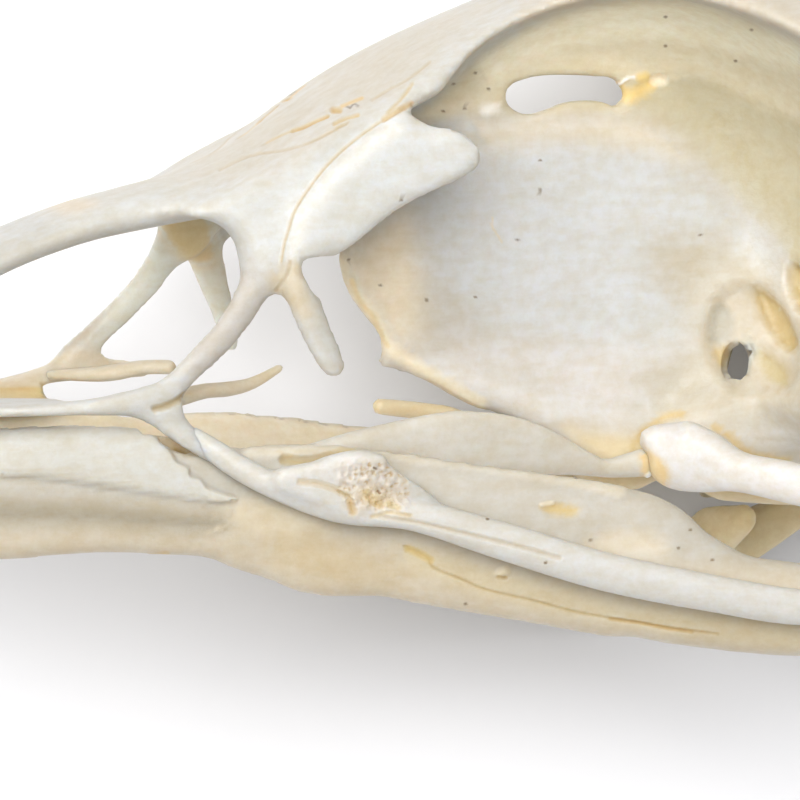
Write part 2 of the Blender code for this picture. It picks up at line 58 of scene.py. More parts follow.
# Photograph: direction of the camera round the skull, its distance and its scale
VIEW_TURN, VIEW_RISE = math.radians(-21.0), math.radians(6.5)
VIEW_DISTANCE = 300.0
PIXELS_PER_MM = 29.0
IMAGE_SIZE = 800
SENSOR = 36.0


# Lines and meshes

def line_through(knots):
    """The smooth line through (x, value, ...) knots, as a function of x that gives rows of values."""
    knots = np.array(knots, float)
    xs, ys = knots[:, 0], knots[:, 1:]
    slopes = np.empty_like(ys)
    slopes[1:-1] = (ys[2:] - ys[:-2]) / (xs[2:] - xs[:-2])[:, None]
    slopes[0] = (ys[1] - ys[0]) / (xs[1] - xs[0])
    slopes[-1] = (ys[-1] - ys[-2]) / (xs[-1] - xs[-2])

    def at(x):
        x = np.clip(np.atleast_1d(np.asarray(x, float)), xs[0], xs[-1])
        i = np.clip(np.searchsorted(xs, x, side="right") - 1, 0, len(xs) - 2)
        span = (xs[i + 1] - xs[i])[:, None]
        t = (x - xs[i])[:, None] / span
        return ((1 + 2 * t) * (1 - t) ** 2 * ys[i] + t * (1 - t) ** 2 * span * slopes[i]
                + t * t * (3 - 2 * t) * ys[i + 1] + t * t * (t - 1) * span * slopes[i + 1])

    return at


def alone(piece):
    """Makes piece the only selected object and the active one."""
    bpy.ops.object.select_all(action="DESELECT")
    piece.select_set(True)
    bpy.context.view_layer.objects.active = piece


def apply(piece, kind, **settings):
    """Adds one modifier with its settings and applies it."""
    alone(piece)
    modifier = piece.modifiers.new(kind.title(), kind)
    for key, value in settings.items():
        setattr(modifier, key, value)
    bpy.ops.object.modifier_apply(modifier=modifier.name)
    return piece


def points_of(piece):
    points = np.empty(len(piece.data.vertices) * 3)
    piece.data.vertices.foreach_get("co", points)
    return points.reshape(-1, 3)


def move_points(piece, points):
    piece.data.vertices.foreach_set("co", np.ascontiguousarray(points, float).ravel())
    piece.data.update()


def normals_of(piece):
    normals = np.empty(len(piece.data.vertices) * 3)
    piece.data.vertex_normals.foreach_get("vector", normals)
    return normals.reshape(-1, 3)


def piece_of(name, points, faces):
    """A closed mesh from points and faces, with its faces turned outwards."""
    mesh = bpy.data.meshes.new(name)
    mesh.from_pydata([tuple(p) for p in points], [], faces)
    piece = bpy.data.objects.new(name, mesh)
    bpy.context.scene.collection.objects.link(piece)
    alone(piece)
    bpy.ops.object.mode_set(mode="EDIT")
    bpy.ops.mesh.select_all(action="SELECT")
    bpy.ops.mesh.quads_convert_to_tris()
    bpy.ops.mesh.normals_make_consistent(inside=False)
    bpy.ops.object.mode_set(mode="OBJECT")
    return piece


LINE_SAMPLES = 300
RINGS_PER_MM = 5.0
PLATE_STEPS = 6         # points of a plate's edge from one knot to the next


def limb(name, stations, side=RIGHT, up=CROWNWARD, square=2.4, facets=24):
    """A bar with round ends, from a sphere drawn out along (x, y, z, width, height) stations.

    Their y is the distance from the middle plane on the bar's side.
    """
    stations = [(x, side * y, *rest) for x, y, *rest in stations]
    line = line_through([(k, *row) for k, row in enumerate(stations)])
    rows = line(np.linspace(0, len(stations) - 1, LINE_SAMPLES))
    steps = np.linalg.norm(np.diff(rows[:, :3], axis=0), axis=1)
    run = np.concatenate([[0.0], np.cumsum(steps)])
    bpy.ops.mesh.primitive_uv_sphere_add(segments=facets, ring_count=max(12, int(run[-1] * RINGS_PER_MM)))
    piece = bpy.context.object
    piece.name = name
    sphere = points_of(piece)
    at = np.arccos(np.clip(sphere[:, 2], -1, 1)) / math.pi * run[-1]
    turn = np.arctan2(sphere[:, 1], sphere[:, 0])
    x, y, z, width, height = (np.interp(at, run, rows[:, k]) for k in range(5))
    heading = np.gradient(rows[:, :3], run, axis=0)
    heading = np.column_stack([np.interp(at, run, heading[:, k]) for k in range(3)])
    across = np.cross(heading, up)
    across /= np.linalg.norm(across, axis=1)[:, None]
    rise = np.cross(across, heading)
    rise /= np.linalg.norm(rise, axis=1)[:, None]
    c, s = (np.sign(v) * np.abs(v) ** (2 / square) for v in (np.cos(turn), np.sin(turn)))
    swell = 1.0
    for reach, size in ((at, stations[0]), (run[-1] - at, stations[-1])):
        tip = min(size[3], size[4]) / 2
        swell = swell * np.sqrt(1 - (1 - np.minimum(reach / tip, 1)) ** 2)
    points = np.column_stack([x, y, z])
    points += across * (c * width / 2 * swell)[:, None] + rise * (s * height / 2 * swell)[:, None]
    move_points(piece, points)
    return piece


def ball(name, centre, radii, segments=48, turn=(0.0, 0.0, 0.0)):
    """An ellipsoid, turned by so many degrees."""
    bpy.ops.mesh.primitive_uv_sphere_add(segments=segments, ring_count=segments // 2)
    piece = bpy.context.object
    piece.name = name
    turned = np.array(Euler([math.radians(a) for a in turn]).to_matrix())
    move_points(piece, (points_of(piece) * np.array(radii)) @ turned.T + np.array(centre))
    return piece


def loft(name, rings):
    """A closed form through rings of points, capped at both ends."""
    count = len(rings[0])
    faces = [tuple(range(count)), tuple((len(rings) - 1) * count + k for k in range(count))]
    for r in range(len(rings) - 1):
        for k in range(count):
            n = (k + 1) % count
            faces.append((r * count + k, r * count + n, (r + 1) * count + n, (r + 1) * count + k))
    return piece_of(name, np.concatenate(rings), faces)


def plate(name, outline, middle, thickness):
    """A plate with a smooth closed outline of (x, z) knots, on the surface y = middle(x, z)."""
    wrapped = [outline[-2], outline[-1], *outline, outline[0], outline[1]]
    line = line_through([(k - 2, *knot) for k, knot in enumerate(wrapped)])
    edge = line(np.arange(0, len(outline), 1 / PLATE_STEPS))
    count = len(edge)
    rings = []
    for half in (-0.5, 0.5):
        y = np.array([middle(x, z) + half * thickness for x, z in edge])
        rings.append(np.column_stack([edge[:, 0], y, edge[:, 1]]))
    faces = [tuple(range(count)), tuple(range(count, 2 * count))]
    faces += [(k, (k + 1) % count, count + (k + 1) % count, count + k) for k in range(count)]
    return piece_of(name, np.concatenate(rings), faces)


def join(name, pieces):
    """One object from several, not yet fused."""
    bpy.ops.object.select_all(action="DESELECT")
    for piece in pieces:
        piece.select_set(True)
    bpy.context.view_layer.objects.active = pieces[0]
    if len(pieces) > 1:
        bpy.ops.object.join()
    pieces[0].name = name
    return pieces[0]


def carve(piece, *cutters, solver="EXACT"):
    """Takes the cutters' forms out of the piece."""
    cutter = join("cutter", list(cutters))
    apply(piece, "BOOLEAN", object=cutter, operation="DIFFERENCE", solver=solver, use_self=True)
    bpy.data.objects.remove(cutter, do_unlink=True)
    return piece


def grow_together(piece, voxel, fillet=0.0, smooth=4):
    """Fuses overlapping forms into one skin.

    Creases narrower than the fillet fill up, as where bones have grown together.
    """
    apply(piece, "REMESH", mode="VOXEL", voxel_size=voxel)
    if fillet:
        apply(piece, "DISPLACE", strength=fillet, mid_level=0.0)
        apply(piece, "REMESH", mode="VOXEL", voxel_size=voxel)
        apply(piece, "DISPLACE", strength=-fillet, mid_level=0.0)
        apply(piece, "REMESH", mode="VOXEL", voxel_size=voxel)
    return apply(piece, "SMOOTH", factor=0.5, iterations=smooth)


def laid_down(piece, finish, *nodes):
    """Smooth shading, a finish, and the place where the CAD bones that it stands for lie."""
    alone(piece)
    bpy.ops.object.shade_smooth()
    piece.data.materials.clear()
    piece.data.materials.append(finish)
    piece.data.transform(LIE @ Matrix.Scale(MM, 4))
    points = points_of(piece)
    points[:, 2] = np.maximum(points[:, 2], 0.0)
    move_points(piece, points)
    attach(piece, "root")
    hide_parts(*nodes)
    return piece


# Details placed by where they show in the photograph

EDGE_STEP = 0.2         # of the way from one knot to the next, where distances to a line are measured
FACING = 0.08           # cosine to the line of sight above which a surface counts as seen
FAR_OFF = 1e9
GROOVE_POWER, STAIN_AND_PAINTED_LIGHT_POWER = 0.7, 0.5        # how blunt a groove is, and how its colour fades: stains, painted shade and painted highlights
FAR = "far"             # in a layer: of the right side alone
SPECK_SIZE, SPECK_DEPTH, SPECK_COLOUR = 1.7, 0.01, "#85735A"


def directions():
    """Camera axes in the skull's frame: right, up and towards the camera."""
    flat = math.cos(VIEW_RISE)
    back = Vector((math.sin(VIEW_TURN) * flat, -math.cos(VIEW_TURN) * flat, math.sin(VIEW_RISE)))
    right = Vector((math.cos(VIEW_TURN), math.sin(VIEW_TURN), 0.0))
    return right, back.cross(right), back


def spots_of(points):
    """Photo pixels in which skull points show."""
    right, up, back = (np.array(axis) for axis in directions())
    away = points - back * VIEW_DISTANCE
    scale = PIXELS_PER_MM * VIEW_DISTANCE / -(away @ back)
    return np.column_stack([IMAGE_SIZE / 2 + scale * (away @ right), IMAGE_SIZE / 2 - scale * (away @ up)])


def from_line(spots, knots, closed=False, reach=FAR_OFF):
    """Distance in pixels from each spot to the smooth line through the knots, worked out within the reach."""
    if closed:
        knots = [knots[-1], *knots, knots[0], knots[1]]
    line = line_through([(k, *knot) for k, knot in enumerate(knots)])
    first, last = (1, len(knots) - 1.99) if closed else (0, len(knots) - 0.99)
    line = line(np.arange(first, last, EDGE_STEP))
    best = np.full(len(spots), FAR_OFF)
    near = (spots > line.min(axis=0) - reach) & (spots < line.max(axis=0) + reach)
    near = np.flatnonzero(near.all(axis=1))
    for a, b in zip(line, line[1:]):
        run = b - a
        t = np.clip(((spots[near] - a) @ run) / max(run @ run, 1e-9), 0, 1)
        best[near] = np.minimum(best[near], np.hypot(*(spots[near] - a - t[:, None] * run).T))
    return best


def within(spots, outline, soft):
    """1 inside a smooth closed outline and 0 outside, with an edge that is soft over so many pixels."""
    distance = from_line(spots, outline, closed=True)
    crossed = np.zeros(len(spots), bool)
    knots = np.array(outline, float)
    for a, b in zip(knots, np.roll(knots, -1, axis=0)):
        spans = (a[1] > spots[:, 1]) != (b[1] > spots[:, 1])
        slope = (b[0] - a[0]) / (b[1] - a[1] + 1e-12)
        crossed ^= spans & (spots[:, 0] < a[0] + slope * (spots[:, 1] - a[1]))
    distance = np.where(crossed, distance, -distance)
    t = np.clip(0.5 + distance / (2 * soft), 0, 1)
    return t * t * (3 - 2 * t)


def sighted(piece, layer):
    """Photo pixels of a piece's points, and 1 for those that face the camera within the layer.

    The layer is in mm from the middle plane, on the left side and mirrored on the right. One with FAR in it
    is on the inner face of the right side alone.
    """
    low, high, *far = layer
    points, normals = points_of(piece), normals_of(piece)
    if not far:
        mirror = np.where(points[:, 1:2] > 0, -1, 1)
        points[:, 1:2] *= mirror
        normals[:, 1:2] *= mirror
    out = points[:, 1] if far else -points[:, 1]
    seen = (normals @ np.array(directions()[2]) > FACING) & (out >= low) & (out <= high)
    return spots_of(points), seen.astype(float)


FINE, BESIDE = 7.0, 2.5         # half width in pixels under which a mark needs finer faces, and the margin


def divide_near(piece, lines, reaches, layer, cuts=2):
    """Divides the faces within each line's reach in pixels, so that fine details can follow the lines."""
    mesh = piece.data
    centres = np.empty(len(mesh.polygons) * 3)
    mesh.polygons.foreach_get("center", centres)
    centres = centres.reshape(-1, 3)
    out = np.abs(centres[:, 1])
    spots = spots_of(np.column_stack([centres[:, 0], -out, centres[:, 2]]))
    wanted = np.zeros(len(out), bool)
    for knots, reach in zip(lines, reaches):
        wanted |= from_line(spots, knots, reach=reach) < reach
    wanted &= (out >= layer[0]) & (out <= layer[1])
    alone(piece)
    bpy.ops.object.mode_set(mode="EDIT")
    bpy.ops.mesh.select_mode(type="FACE")
    bpy.ops.mesh.select_all(action="DESELECT")
    bpy.ops.object.mode_set(mode="OBJECT")
    mesh.polygons.foreach_set("select", wanted)
    bpy.ops.object.mode_set(mode="EDIT")
    bpy.ops.mesh.subdivide(number_cuts=cuts)
    bpy.ops.object.mode_set(mode="OBJECT")


def press(piece, mask, depth):
    """Pushes the surface in by the mask times the depth, or out where it is negative."""
    move_points(piece, points_of(piece) - normals_of(piece) * (mask * depth)[:, None])


def coat(piece, code):
    """Starts a piece's painting with one colour all over."""
    colours = piece.data.attributes.new("tint", "FLOAT_COLOR", "POINT")
    colours.data.foreach_set("color", np.tile(hex_colour(code), len(piece.data.vertices)))
    return piece


def paint(piece, mask, code):
    """Washes a colour over the points that the mask picks."""
    colours = piece.data.attributes["tint"]
    now = np.empty(len(piece.data.vertices) * 4)
    colours.data.foreach_get("color", now)
    now = now.reshape(-1, 4)
    now += (np.array(hex_colour(code)) - now) * np.clip(mask, 0, 1)[:, None]
    colours.data.foreach_set("color", now.ravel())


def score(piece, layer, marks, cuts=2):
    """Fine grooves and ridges, each a line with its half width in pixels, its depth in mm and its colour: a
    stain, painted shade or a painted highlight.
    """
    if cuts:
        fine = [mark for mark in marks if mark[1] < FINE]
        divide_near(piece, [mark[0] for mark in fine], [mark[1] + BESIDE for mark in fine], layer, cuts)
    spots, seen = sighted(piece, layer)
    for knots, width, depth, code in marks:
        mask = np.clip(1 - from_line(spots, knots, reach=width) / width, 0, 1) * seen
        press(piece, mask ** GROOVE_POWER, depth)
        paint(piece, mask ** STAIN_AND_PAINTED_LIGHT_POWER, code)


def specks(piece, layer, centres):
    """Tiny dark grains caught on the bone."""
    score(piece, layer, [([(x, y), (x + 1.0, y)], SPECK_SIZE, SPECK_DEPTH, SPECK_COLOUR) for x, y in centres])


def wash(piece, patches):
    """Soft patches of colour, each an outline, the softness of its edge in pixels, its layer and its colour.

    Its strength and the depth to which it is sunk may follow.
    """
    for outline, soft, layer, code, *more in patches:
        strength, depth = more + [1.0, 0.0][len(more):]
        spots, seen = sighted(piece, layer)
        mask = within(spots, outline, soft) * seen
        if depth:
            press(piece, mask, depth)
        paint(piece, mask * strength, code)


def apply_where(piece, where, modifier, **settings):
    """Applies a modifier to the points of a piece for which the condition holds."""
    group = piece.vertex_groups.new(name="picked")
    group.add([int(k) for k in np.flatnonzero(where)], 1.0, "REPLACE")
    apply(piece, modifier, vertex_group="picked", **settings)
    piece.vertex_groups.clear()


def ease(piece, where, rounds):
    """Smooths a piece where the condition holds."""
    apply_where(piece, where, "SMOOTH", factor=0.5, iterations=rounds)


# Finishes

def hex_colour(code):
    """Linear colour from an sRGB hex code."""
    channels = [int(code[k:k + 2], 16) / 255 for k in (1, 3, 5)]
    return (*[c / 12.92 if c <= 0.04045 else ((c + 0.055) / 1.055) ** 2.4 for c in channels], 1.0)


def add(tree, kind, settings=None, links=None):
    """One shader node, with its settings by name and its inputs linked or set."""
    node = tree.nodes.new(kind)
    for key, value in (settings or {}).items():
        setattr(node, key, value)
    for key, value in (links or {}).items():
        if isinstance(value, bpy.types.NodeSocket):
            tree.links.new(value, node.inputs[key])
        else:
            node.inputs[key].default_value = value
    return node


def skull_millimetres(tree, stretch=(1.0, 1.0, 1.0)):
    """Object coordinates turned back into the skull's own frame in millimetres."""
    place = add(tree, "ShaderNodeTexCoord")
    back = LIE_TURN.inverted()
    shift = back @ (LIE_PLACE / MM)
    upright = add(tree, "ShaderNodeMapping", links={"Vector": place.outputs["Object"],
        "Scale": (1 / MM,) * 3, "Rotation": back.to_euler(), "Location": -shift})
    return add(tree, "ShaderNodeMapping", links={"Vector": upright.outputs[0], "Scale": stretch}).outputs[0]


def ramp(tree, factor, stops):
    node = add(tree, "ShaderNodeValToRGB", links={"Fac": factor})
    elements = node.color_ramp.elements
    while len(elements) < len(stops):
        elements.new(0.5)
    for element, (at, colour) in zip(elements, stops):
        element.position = at
        element.color = hex_colour(colour)
    return node.outputs["Color"]


def dry_bone(name, pale, warm):
    """Cleaned and dried bone: waxy, slightly see-through, and faintly rough from its grain.

    It has cream clouds 3 mm across, streaks 0.7 mm wide along the bone and 0.4 mm mottling. The coat, the
    stains and the painted shade and painted light that each piece carries in its tint are washed over them.
    """
    finish = bpy.data.materials.new(name)
    finish.use_nodes = True
    tree = finish.node_tree
    shader = tree.nodes["Principled BSDF"]
    shader.inputs["Roughness"].default_value = 0.45
    shader.inputs["IOR"].default_value = 1.5
    shader.inputs["Subsurface Weight"].default_value = 0.8
    shader.inputs["Subsurface Radius"].default_value = (1.0, 0.75, 0.5)
    shader.inputs["Subsurface Scale"].default_value = 0.0008
    place = skull_millimetres(tree)
    clouds = add(tree, "ShaderNodeTexNoise", links={"Vector": place, "Scale": 0.35, "Detail": 6.0})
    own = ramp(tree, clouds.outputs["Fac"], [(0.35, pale), (0.75, warm)])
    streaks = add(tree, "ShaderNodeTexNoise", links={
        "Vector": skull_millimetres(tree, (0.5, 1.6, 1.8)), "Scale": 1.4, "Detail": 8.0, "Roughness": 0.6})
    mottle = add(tree, "ShaderNodeTexNoise", links={
        "Vector": place, "Scale": 2.4, "Detail": 8.0, "Roughness": 0.7})
    layers = [ramp(tree, pattern.outputs["Fac"], [(0.38, dark), (0.6, "#FFFFFF")]) for pattern,
        dark in ((streaks, "#FAF7F1"), (mottle, "#F9F6F0"))]
    layers.append(add(tree, "ShaderNodeAttribute", {"attribute_name": "tint"}).outputs["Color"])
    for layer in layers:
        own = add(tree, "ShaderNodeMix", {"data_type": "RGBA", "blend_type": "MULTIPLY"},
            {0: 1.0, 6: own, 7: layer}).outputs[2]
    tree.links.new(own, shader.inputs["Base Color"])
    rough = add(tree, "ShaderNodeMath", {"operation": "ADD"}, {0: streaks.outputs["Fac"],
        1: mottle.outputs["Fac"]})
    bump = add(tree, "ShaderNodeBump", links={
        "Height": rough.outputs[0], "Strength": 0.35, "Distance": 0.00006})
    tree.links.new(bump.outputs["Normal"], shader.inputs["Normal"])
    return finish


IVORY = dry_bone("ivory bone", "#F2F1F0", "#ECEAE6")
CREAM = dry_bone("cream bone", "#F2F0EC", "#EBE7DF")


# The cranium

CROWN = [(-7.6, 8.0), (-5.2, 9.3), (-3.0, 10.6), (0.0, 12.25), (2.6, 13.35), (6.0, 14.5), (10.0, 15.45),
    (14.0, 16.0), (18.0, 15.9), (21.0, 14.9), (24.0, 12.4), (26.2, 9.0), (27.2, 6.6)]
BASE = [(-7.6, 6.7), (-6.6, 6.5), (-6.0, 6.6), (-5.4, 7.2), (-4.3, 8.5), (-3.1, 9.4), (-1.6, 10.1),
        (0.0, 10.6), (2.5, 11.1), (8.4, 11.2), (9.6, 10.2), (10.6, 7.0), (12.0, 1.0), (13.5, -1.8),
        (15.5, -3.2), (18.5, -3.6), (21.5, -3.1), (24.0, -1.2), (26.2, 1.6), (27.2, 4.4)]
HALF = [(-7.6, 2.9), (-6.0, 3.8), (-4.0, 4.4), (-2.0, 4.7), (0.0, 4.6), (2.0, 4.3), (4.0, 4.5), (6.0, 5.2),
        (8.0, 6.8), (10.0, 9.0), (11.5, 10.7), (13.0, 11.9), (15.5, 12.3), (18.5, 12.0), (21.5, 10.9),
        (24.2, 8.4), (26.2, 5.0), (27.2, 2.2)]
UNDER_ROUND = [(-7.6, 0.55), (-1.0, 0.6), (4.0, 1.0), (10.0, 1.35), (27.2, 1.35)]   # under 1 is upright
WIDEST = [(-7.6, 7.5), (-5.0, 8.1), (-3.0, 9.5), (-1.0, 10.7), (1.0, 11.6), (3.0, 12.5), (5.0, 13.1),
    (8.0, 13.3), (10.0, 12.4), (11.5, 10.6), (14.0, 8.4), (18.0, 7.4), (22.0, 6.2), (27.2, 5.6)]
UPPER_ROUND = 0.85
RING_POINTS, RING_STEP = 96, 0.3
ORBIT_BOX = 0.55                    # under 1 squares the hollow's rim and flattens its inner face
ORBIT_CENTRE, ORBIT_RADII = (6.4, 8.2, 5.1), (8.6, 8.8, 9.2)
SKULL_VOXEL = 0.2
BEHIND, SHARE_KEPT = 14.6, 0.75     # where the plain back of the head starts, and the share of faces it keeps


def vault():
    """Forehead and braincase as one form."""
    lines = [line_through(knots) for knots in (CROWN, BASE, HALF, WIDEST, UNDER_ROUND)]
    turn = 2 * math.pi * (np.arange(RING_POINTS) + 0.5) / RING_POINTS
    c, s = np.cos(turn), np.sin(turn)
    rings = []
    for x in np.arange(CROWN[0][0], CROWN[-1][0] + 0.01, RING_STEP):
        top, low, half, wide, under = (float(line(x)[0, 0]) for line in lines)
        reach = np.where(s > 0, UPPER_ROUND, under)
        lift = np.where(s > 0, top - wide, wide - low)
        ring = np.column_stack([np.full_like(c, x), half * np.sign(c) * np.abs(c) ** reach, wide + lift * s])
        rings.append(ring)
    return loft("vault", rings)


def orbit(side):
    """The hollow of an eye: round from the side, with a nearly flat inner face."""
    bowl = ball("orbit", (0, 0, 0), (1, 1, 1), segments=96)
    points = points_of(bowl)
    round_part = np.maximum(np.hypot(points[:, 0], points[:, 2]), 1e-6)[:, None]
    points[:, [0, 2]] *= round_part ** (ORBIT_BOX - 1)
    points[:, 1] = np.sign(points[:, 1]) * np.abs(points[:, 1]) ** ORBIT_BOX
    x, y, z = ORBIT_CENTRE
    move_points(bowl, points * np.array(ORBIT_RADII) + np.array([x, side * y, z]))
    return bowl


def septum_block():
    """The wall between the orbits, with the wavy front edge that the photograph shows."""
    front = [(-1.4, 9.3), (-1.9, 7.5), (-2.2, 5.6), (-2.21, 4.75), (-2.02, 4.06), (-1.77, 3.6),
        (-1.4, 3.1), (-0.92, 2.53), (-0.63, 2.17), (-0.66, 1.76), (-0.74, 1.42), (-1.07, 1.2),
        (-0.55, 1.05)]
    keel = [(0.0, 0.95), (1.1, 0.55), (2.6, -0.3), (4.5, -0.9), (7.5, -2.1), (12.0, -2.9)]
    back = [(13.0, 0.5), (13.0, 8.0)]
    roof = [(x, float(line_through(BASE)(x)[0, 0]) + 0.5) for x in (9.4, 8.0, 5.5, 3.0, 1.2, -0.5)]
    return plate("septum", front + keel + back + roof, lambda x, z: 0.0, 0.62)


def middle_bones():
    """What lies in the middle plane, from the rostrum to the beak and the bar over the nostrils."""
    return [
        limb("rostrum", [(0.2, 0, 1.35, 0.8, 0.7), (1.4, 0, 0.95, 1.2, 0.9), (4.5, 0, -0.35, 1.6, 1.3),
            (6.2, 0, -1.2, 1.7, 1.8), (7.0, 0, -1.85, 1.9, 2.5), (8.4, 0, -2.25, 2.2, 2.7),
            (9.7, 0, -2.15, 2.2, 2.0), (12.0, 0, -2.6, 2.8, 2.2)]),
        limb("septum rim", [(-1.75, 0, 6.2, 0.9, 0.6), (-1.85, 0, 4.8, 1.0, 0.55), (-1.45, 0, 3.9, 1.0, 0.5),
            (-0.85, 0, 3.0, 0.95, 0.5), (-0.25, 0, 2.2, 0.9, 0.45), (0.2, 0, 1.6, 0.8, 0.45)], up=BACKWARD),
        limb("back wall", [(9.8, 0, 1.9, 0.5, 3.6), (11.2, 0, 1.8, 1.2, 5.4), (13.6, 0, 1.5, 3.2, 7.2)]),
        limb("beak", [(-26.9, 0, -4.0, 0.5, 0.6), (-26.3, 0, -3.2, 1.2, 1.5), (-25.0, 0, -1.9, 2.8, 2.1),
            (-23.0, 0, -0.1, 4.8, 2.6), (-21.0, 0, 1.0, 6.3, 2.9), (-19.4, 0, 1.6, 7.3, 2.8),
            (-18.4, 0, 1.7, 7.4, 1.9)], facets=40),
        limb("nostril bar", [(-25.6, 0, -2.1, 1.0, 1.4), (-23.6, 0, 0.0, 2.0, 1.9),
            (-21.4, 0, 1.75, 3.0, 2.0), (-19.6, 0, 3.05, 3.7, 1.8), (-17.4, 0, 4.3, 4.1, 1.4),
            (-14.8, 0, 5.55, 4.2, 1.2), (-12.0, 0, 6.5, 4.2, 1.3), (-9.6, 0, 7.0, 4.6, 1.4),
            (-7.6, 0, 7.4, 5.4, 1.5), (-5.6, 0, 8.2, 6.0, 1.5)], facets=40)]


def cranium():
    """The bones of the head that have grown into one, with their hollows and openings."""
    head = carve(vault(), orbit(LEFT), orbit(RIGHT), *cavities())
    forms = [head, septum_block(), *middle_bones(), *face_of(LEFT), *face_of(RIGHT), *back_of_head()]
    skull = grow_together(join("cranium", forms), SKULL_VOXEL, 0.2)
    x, y, z = points_of(skull).T
    y = np.abs(y)
    face = (x > -9.5) & (x < 0.5) & (z > 5.6) & (y > 1.2)
    socket_back = (x > 8.0) & (x < 14.0) & (z > -2.0) & (z < 10.5) & (y < 5.0)
    ease(skull, face, 14)
    ease(skull, socket_back, 25)
    for opening in openings():
        carve(skull, opening, solver="MANIFOLD")
    apply(skull, "REMESH", mode="VOXEL", voxel_size=SKULL_VOXEL)
    apply(skull, "SMOOTH", factor=0.5, iterations=3)
    x, y, z = points_of(skull).T
    prongs = (x > -6.4) & (x < -3.2) & (z < 5.2) & (np.abs(y) > 4.3)
    ease(skull, prongs, 6)
    apply_where(skull, points_of(skull)[:, 0] > BEHIND, "DECIMATE", ratio=SHARE_KEPT)
    finish_cranium(skull)
    return skull


SEPTUM_HOLE = [(3.81, 10.44), (3.99, 10.74), (4.44, 10.94), (5.18, 11.06), (5.93, 11.07), (6.86, 11.01),
    (7.8, 10.95), (8.1, 10.7), (8.25, 10.31), (8.17, 10.0), (7.87, 9.94), (7.42, 10.13), (6.86, 10.18),
    (6.12, 10.13), (5.56, 9.94), (5.0, 9.78), (4.44, 9.79), (3.99, 10.05)]
OPTIC_HOLE = [(12.16, 1.7), (12.46, 1.32), (12.58, 1.0), (12.52, 0.43), (12.26, 0.2), (11.78, 0.57),
    (11.9, 1.32)]
ARCH = [(-5.55, 5.3), (-5.5, 5.52), (-5.3, 5.57), (-4.81, 5.58), (-4.23, 5.57), (-4.05, 5.5), (-3.9, 5.1),
    (-4.2, 4.3), (-5.0, 4.3), (-5.42, 5.0)]
LOBE_EDGE = [(-1.25, 10.25), (-1.26, 10.05), (-0.98, 10.08), (-0.43, 10.06), (0.11, 9.92), (0.5, 9.68),
    (0.8, 9.35), (1.3, 9.6), (0.9, 10.4), (0.0, 10.7), (-0.9, 10.5)]


OPTIC_DEPTHS = {LEFT: 15.0, RIGHT: 2.2}


def openings():
    """What is cut sharply after the bones have grown together.

    These are the opening under the roof of the septum, the arch between prong and lacrimal, the edge of the
    lacrimal's lobe, and the optic openings. The left one runs on through the head to the right ear along the
    camera's line of sight, so that the ground shows in it.
    """
    cuts = [plate("septum hole", SEPTUM_HOLE, lambda x, z: 0.0, 3.4),
        plate("arch", ARCH, lambda x, z: -5.0, 2.4), plate("lobe edge", LOBE_EDGE, lambda x, z: -5.55, 1.5)]
    eye = np.array(directions()[2]) * VIEW_DISTANCE
    for side, end in OPTIC_DEPTHS.items():
        rings = []
        for reach, swell in ((-3.0, 1.0), (0.8, 1.0), (2.0, 1.7), (end, 1.7)):
            ring = np.array([(x, -1.0, z) for x, z in OPTIC_HOLE])
            ring = ring.mean(axis=0) + (ring - ring.mean(axis=0)) * swell
            ring += reach * (ring - eye) / np.linalg.norm(ring - eye, axis=1)[:, None]
            rings.append(ring * (1.0, -side, 1.0))
        cuts.append(loft("optic opening", rings))
    return cuts


# Layers of the head, in mm from the middle plane
MIDDLE, KEEL, SOCKET_BACK = (0.0, 1.6), (0.0, 3.4), (0.0, 5.0)
FACE, WHOLE_FACE, FLANK, SOCKET, HEAD = (0.0, 6.3), (0.0, 6.6), (1.2, 6.3), (0.0, 12.6), (0.0, 13.0)
HOLLOW, FAR_SIDE, FAR_SHELF = (0.3, 6.0), (1.0, 6.0, FAR), (2.0, 6.0, FAR)

ORBIT_WALL = [(416, 118), (440, 97), (480, 64), (520, 38), (560, 20), (600, 9), (650, 4), (700, 9),
    (750, 28), (800, 50), (870, 90), (950, 420), (830, 400), (800, 300), (792, 262), (770, 232),
    (749, 212), (727, 188), (698, 161), (678, 140), (640, 118), (560, 114), (500, 120), (465, 116)]
SEPTUM_EDGE = [(343, 262), (342, 276), (350, 294), (366, 308), (378, 330), (388, 346), (410, 362),
    (440, 381), (480, 404)]
SUTURE = [(281, 262), (284, 244), (288, 231), (294, 212), (306, 192), (327, 165), (353, 141), (384, 119),
    (405, 107)]


